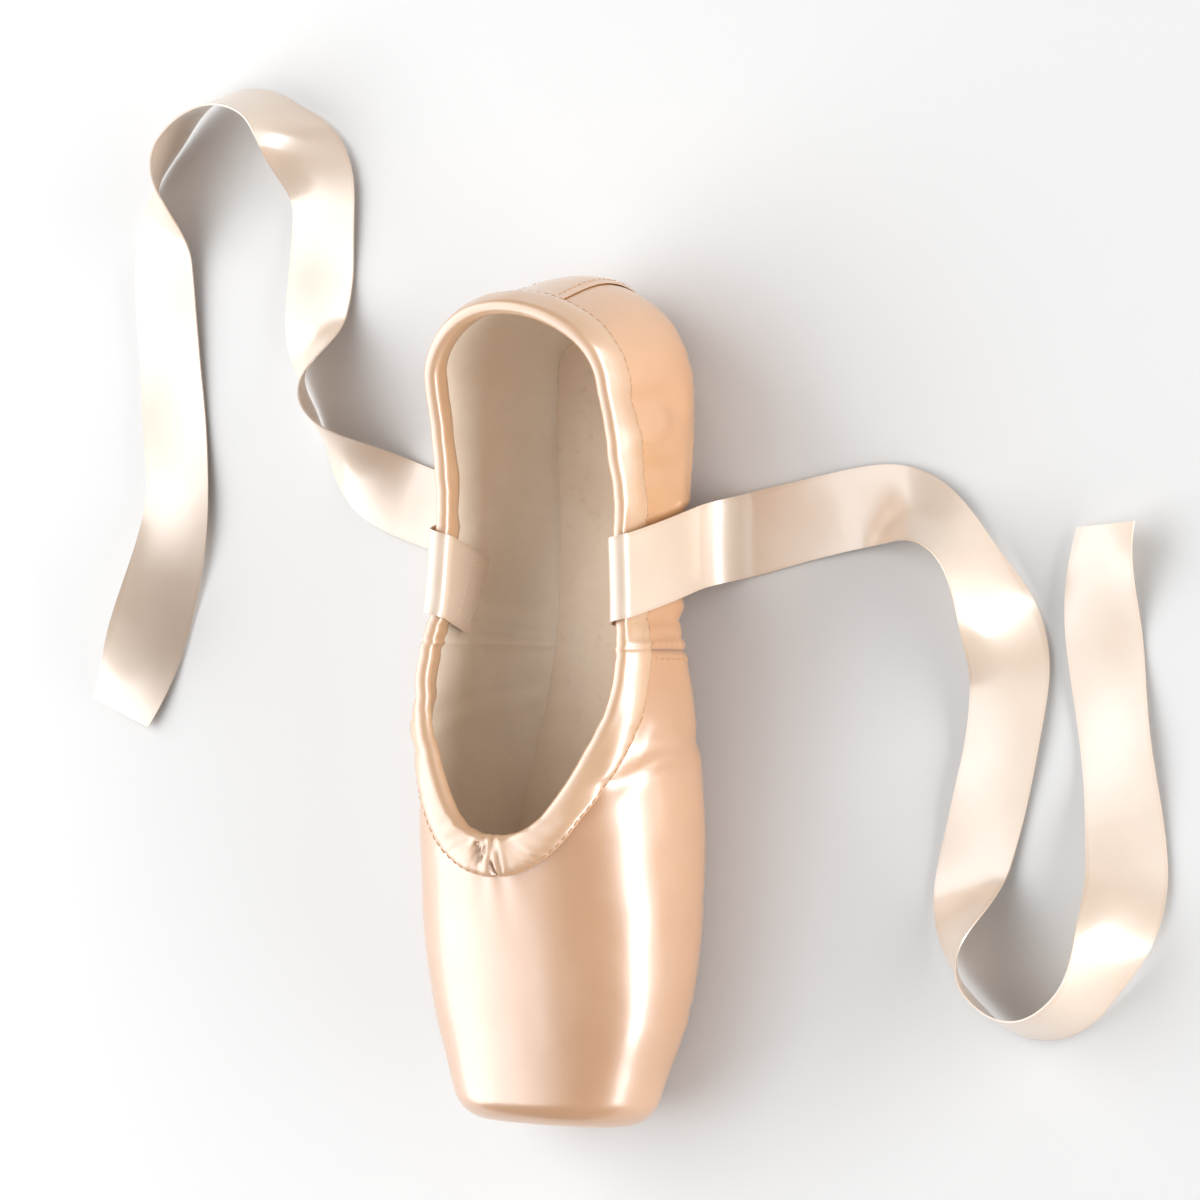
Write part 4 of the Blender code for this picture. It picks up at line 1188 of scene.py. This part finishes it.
def binding_gather(points, depth):
    """Fine puckers of the binding, deeper at the throat where the drawstring ties."""
    x, s, _ = np.moveaxis(points, -1, 0)
    arc = s + 0.5 * np.abs(x)
    fine = np.sin(arc / 0.00055 + 2.4 * np.sin(arc / 0.0031)) * np.sin(arc / 0.0063 + 0.8)
    at_throat = np.exp(-(x / 0.009) ** 2) * (s < FAN_AXIS)
    deep = np.zeros_like(x)
    for nick in NICKS:
        off = x * 1000 - nick.across - nick.lean * depth * 1000
        shown = ease(depth * 1000 - nick.top) * ease(nick.bottom - depth * 1000)
        deep += nick.height * 0.001 * np.exp(-(off / nick.width) ** 2) * shown
    return BINDING_PUCKER_DEPTH * fine * (1 - at_throat) + deep * (s < FAN_AXIS)


def make_binding(base, aim, material, thread):
    """The folded binding and the row of stitches along its lower edge."""
    grid = binding_grid(base, aim)
    binding = tube_piece("binding", grid, material)
    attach(binding, "root")
    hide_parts("collar_binding")
    line = np.concatenate([grid[:, 2], grid[:1, 2]])
    normal = last_normal(line)
    rows = [(line + normal * 0.3 * STITCH_RADIUS, normal)]
    stitches = stitch_rows("binding_stitches", rows, BINDING_PITCH, thread)
    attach(stitches, "root")


def make_side_seams(thread):
    """Stitches beside the side seam, from the binding down to the outsole."""
    for name, side in (("seam_stitches_left", 1.0), ("seam_stitches_right", -1.0)):
        base = np.array([[0.0, SEAM_FROM_TOE - SEAM_STITCH_BACK]])
        aim = np.array([[side, 0.0]])
        sole_edge = underside_rise(base, aim, -0.002)
        points, _ = line_samples(base, aim, sole_edge, collar_rise(base, aim), count=160)
        depth = depth_below(points)
        path, normal = clothed(points, depth)
        keep = depth[0] > BINDING_OUTSIDE + 0.001
        raised = path + normal * 0.2 * STITCH_RADIUS
        row = stitch_rows(name, [(raised[0][keep], normal[0][keep])], SEAM_PITCH, thread)
        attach(row, "root")


def make_heel_strip(satin, thread):
    """The strip up the back seam, its edges turned under and stitched."""
    share = np.linspace(-1, 1, STRIP_LINES)
    x = share * STRIP_WIDTH / 2
    base = np.stack([x, np.full_like(x, HEEL_AXIS)], axis=-1)
    aim = np.tile([0.0, 1.0], (len(x), 1))
    low = np.full_like(x, math.atan2(last_bottom(LENGTH) - WIDEST_LEVEL, SOLE_END + GAP - HEEL_AXIS))
    points, rise = line_samples(base, aim, low, collar_rise(base, aim))
    rows, depths = [], []
    for line, angles in zip(points, rise):
        depth = depth_below(line)
        top = np.interp(BINDING_OUTSIDE + GAP, depth[::-1], np.arange(len(depth))[::-1])
        places = np.linspace(0, top, STRIP_ROWS)
        rows.append(np.interp(places, np.arange(len(angles)), angles))
        depths.append(np.interp(places, np.arange(len(depth)), depth))
    surface, normal = clothed(hit_rows(base, aim, np.array(rows)), np.array(depths))
    plump = (1 - np.abs(share) ** 6 * 0.75)[:, None, None]
    waves = np.sin(surface[..., 2] / 0.0011 + 3 * share[:, None]) * np.abs(share)[:, None]
    pucker = STRIP_PUCKER_DEPTH * waves[..., None]
    outer = surface + normal * (GAP + STRIP_THICKNESS * plump + pucker)
    inner = surface + normal * GAP
    strip = wall_piece("heel_strip_satin", outer, inner, False, satin, satin)
    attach(strip, "root")
    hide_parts("heel_strip")
    for name, line in (("strip_stitches_left", STRIP_LINES - 1 - STRIP_STITCH_LINE),
                       ("strip_stitches_right", STRIP_STITCH_LINE)):
        row = stitch_rows(name, [(outer[line, 2:-2], normal[line, 2:-2])], STRIP_PITCH, thread)
        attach(row, "root")


def fine_stations(inset):
    """Distances from the toe along an outline drawn in by inset, closer at its ends."""
    toe_round = SOLE_TOE_ROUND - inset
    heel_round = SOLE_HEEL_ROUND - inset
    toe = SOLE_START + inset + toe_round * (1 - np.cos(np.radians(np.linspace(3, 87, 22))))
    heel = SOLE_END - inset - heel_round * (1 - np.cos(np.radians(np.linspace(87, 3, 18))))
    middle = np.linspace(SOLE_START + SOLE_TOE_ROUND, SOLE_END - SOLE_HEEL_ROUND, 90)
    return np.concatenate([toe, middle, heel])


def fine_ring(inset, height):
    """A closed ring of an outline, +X side toward the heel and back by the -X side."""
    s = fine_stations(inset)
    half = outline_half_width(s, inset)
    near = np.stack([half, s, height(s)], axis=-1)
    return np.concatenate([near, (near * np.array([-1, 1, 1]))[::-1]])


def make_outsole(leather, burnished):
    """The leather outsole with a rounded, burnished edge."""
    def at(share):
        return lambda s: sole_lift(s) + share * SOLE_THICKNESS
    rings = [fine_ring(inset, at(share)) for inset, share in SOLE_LEVELS]
    slots = [0, 1, 1, 1, 1, 1, 0, 0, 0]
    sole = plate_piece("outsole_leather", rings, slots, [leather, burnished])
    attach(sole, "root")
    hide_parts("outsole")


def make_insole(material, edge):
    """The insole, its underside stepping down into the upper's opening."""
    def seat(s):
        return last_bottom(s) + wall_thickness(s) + GAP
    thick = INSOLE_THICKNESS
    rings = [
        fine_ring(OPENING_INSET + PLUG_CLEAR, last_bottom),
        fine_ring(OPENING_INSET + PLUG_CLEAR, seat),
        fine_ring(SOLE_EDGE, seat),
        fine_ring(SOLE_EDGE, lambda s: seat(s) + 0.6 * thick),
        fine_ring(SOLE_EDGE + 0.0003, lambda s: seat(s) + 0.92 * thick),
        fine_ring(SOLE_EDGE + 0.0009, lambda s: seat(s) + thick),
    ]
    insole = plate_piece("insole_cotton", rings, [0, 0, 1, 1, 0, 0, 0], [material, edge])
    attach(insole, "root")
    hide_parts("insole")


def fine_ribbon(bends, cut_angle):
    """Middle surface of a ribbon, rows along it and points across, for the +X side."""
    across = np.linspace(-RIBBON_WIDTH / 2, RIBBON_WIDTH / 2, RIBBON_POINTS)
    reach = QUARTER_WALL / 2 + RIBBON_DROP_BEND * math.pi / 2 + QUARTER_HEIGHT
    landing = reach / math.cos(RIBBON_SLANT) + RIBBON_WIDTH / 2 * math.tan(RIBBON_SLANT)
    sewn = -RIBBON_SEWN / math.cos(RIBBON_SLANT)
    hung = np.linspace(sewn, landing, RIBBON_ROWS_HUNG)
    laid = np.linspace(landing, RIBBON_LENGTH + sewn, RIBBON_ROWS_LAID)
    on_shoe = ribbon_on_shoe(hung[:, None], across[None])
    start = ribbon_on_shoe(np.array(landing), np.array(0.0))
    on_floor = ribbon_on_floor(start, laid, across, bends)
    share = np.linspace(0, 1, len(laid))
    edge = across[None] / RIBBON_WIDTH
    ripple = np.sin(share[:, None] * 41 + 2.5 * edge) + 0.6 * np.sin(share[:, None] * 23 - 4 * edge)
    on_floor[..., 2] += RIBBON_RIPPLE * (1.6 + ripple) * ease(share * 12)[:, None]
    way = unit(np.gradient(on_floor, axis=0))
    cut = ease((share - 0.94) / 0.06)[:, None, None] * across[None, :, None] * math.tan(cut_angle)
    whole = np.concatenate([on_shoe[:-1], on_floor + way * cut])
    near = slice(len(on_shoe) - 1 - RIBBON_SOFT_ROWS, len(on_shoe) - 1 + RIBBON_SOFT_ROWS)
    for _ in range(RIBBON_SOFTENING):
        smoothed = (np.roll(whole, 1, axis=0) + 2 * whole + np.roll(whole, -1, axis=0)) / 4
        whole[near] = smoothed[near]
    return whole


def make_ribbon(name, node_name, side, bends, cut_angle, material, thread):
    """A satin ribbon from its sewn end to its slanted cut end."""
    middle = fine_ribbon(bends, cut_angle)
    along = np.gradient(middle, axis=0)
    normal = unit(np.cross(along, np.gradient(middle, axis=1)))
    mirror = np.array([side, 1, 1])
    half = normal * RIBBON_SHOWN_THICKNESS / 2
    threads = arc_uvs(middle, False)[..., ::-1]
    ribbon = wall_piece(name, (middle + half) * mirror, (middle - half) * mirror, False, material, material,
                        threads)
    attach(ribbon, "root")
    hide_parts(node_name)
    first, last = RIBBON_STITCH_ROWS
    near, far = RIBBON_STITCH_LINE, RIBBON_POINTS - 1 - RIBBON_STITCH_LINE
    inward = normal * np.where(normal[first, RIBBON_POINTS // 2, 0] > 0, -1, 1)
    seam_lines = [(first, slice(near, far + 1)), (last, slice(near, far + 1)),
                  (slice(first, last), near), (slice(first, last), far)]
    rows = [((middle[at] + inward[at] * STITCH_RADIUS) * mirror, inward[at] * mirror) for at in seam_lines]
    stitches = stitch_rows(name.replace("satin", "stitches"), rows, RIBBON_PITCH, thread)
    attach(stitches, "root")


def make_stage():
    bpy.ops.mesh.primitive_plane_add(size=FLOOR_SIDE, location=(0, 0, 0))
    floor = bpy.context.object
    floor.name = "floor"
    floor.data.materials.append(floor_material())


def make_camera():
    """The photograph's angle to the shoe: from above its +X side, toe down in the frame."""
    target = Vector((0.008, 0.072, 0.02))
    elevation = math.radians(57)
    roll = math.radians(2)
    distance = 1.65
    back = Vector((math.cos(elevation), 0, math.sin(elevation)))
    up = Vector((0, math.cos(roll), 0)) + back.cross(Vector((0, 1, 0))) * math.sin(roll)
    right = up.cross(back).normalized()
    up = back.cross(right)
    camera_data = bpy.data.cameras.new("camera")
    camera_data.lens = 180
    camera_data.sensor_width = 36
    camera = bpy.data.objects.new("camera", camera_data)
    bpy.context.collection.objects.link(camera)
    camera.location = target + back * distance
    axes = [right, up, back]
    camera.rotation_euler = matrix_from_axes(axes).to_euler()
    bpy.context.scene.camera = camera


def matrix_from_axes(axes):
    return Matrix([list(axis) for axis in axes]).transposed()


def light_panel(panel):
    """A light from a row of the table, facing the shoe."""
    middle = math.radians((panel.first + panel.last) / 2)
    width = 2 * LIGHT_DISTANCE * math.tan(math.radians(panel.last - panel.first) / 2)
    back = Vector((math.sin(middle), 0, math.cos(middle)))
    along = Vector((0, 1, 0))
    data = bpy.data.lights.new(panel.name, "AREA")
    data.shape = "RECTANGLE"
    data.size = LIGHT_LENGTH
    data.size_y = width
    data.energy = math.pi * panel.radiance * LIGHT_LENGTH * width
    light = bpy.data.objects.new(panel.name, data)
    bpy.context.collection.objects.link(light)
    light.location = LIGHT_CENTRE + back * LIGHT_DISTANCE
    light.rotation_euler = matrix_from_axes([along, back.cross(along), back]).to_euler()
    light.visible_camera = False


def make_lights():
    """Soft studio light: a broad window over the left of the frame, a strip at the right."""
    for panel in PANELS:
        light_panel(panel)
    world = bpy.data.worlds.new("studio")
    bpy.context.scene.world = world
    world.use_nodes = True
    background = world.node_tree.nodes["Background"]
    background.inputs["Color"].default_value = (1, 1, 1, 1)
    background.inputs["Strength"].default_value = 0.25
    bpy.context.scene.view_settings.view_transform = "Standard"


def main():
    make_camera()
    make_stage()
    make_lights()
    satin = satin_material()
    lining = lining_material()
    thread = thread_material("satin_thread", (0.62, 0.36, 0.20), (0.50, 0.27, 0.14))
    pale_thread = thread_material("pale_thread", (0.86, 0.72, 0.58), (0.76, 0.60, 0.46))
    ribbon = ribbon_material()
    leather = leather_material("sole_leather", (0.78, 0.50, 0.36), (0.70, 0.42, 0.29),
                               (0.30, 0.12, 0.06), 0.55, NAILS)
    burnished = leather_material("burnished_edge", (0.24, 0.10, 0.05), (0.16, 0.07, 0.035),
                                 (0.08, 0.03, 0.02), 0.38)
    suede = leather_material("insole_leather", (0.80, 0.67, 0.54), (0.75, 0.61, 0.48),
                             (0.62, 0.48, 0.36), 0.8)
    make_ribbon("ribbon_satin_left", "ribbon_left", 1, LEFT_BENDS, LEFT_CUT, ribbon, pale_thread)
    make_ribbon("ribbon_satin_right", "ribbon_right", -1, RIGHT_BENDS, RIGHT_CUT, ribbon, pale_thread)
    base, aim = make_upper(satin, lining)
    make_binding(base, aim, binding_material(), thread)
    make_side_seams(thread)
    make_heel_strip(strip_material(), thread)
    make_outsole(leather, burnished)
    make_insole(suede, lining)


main()
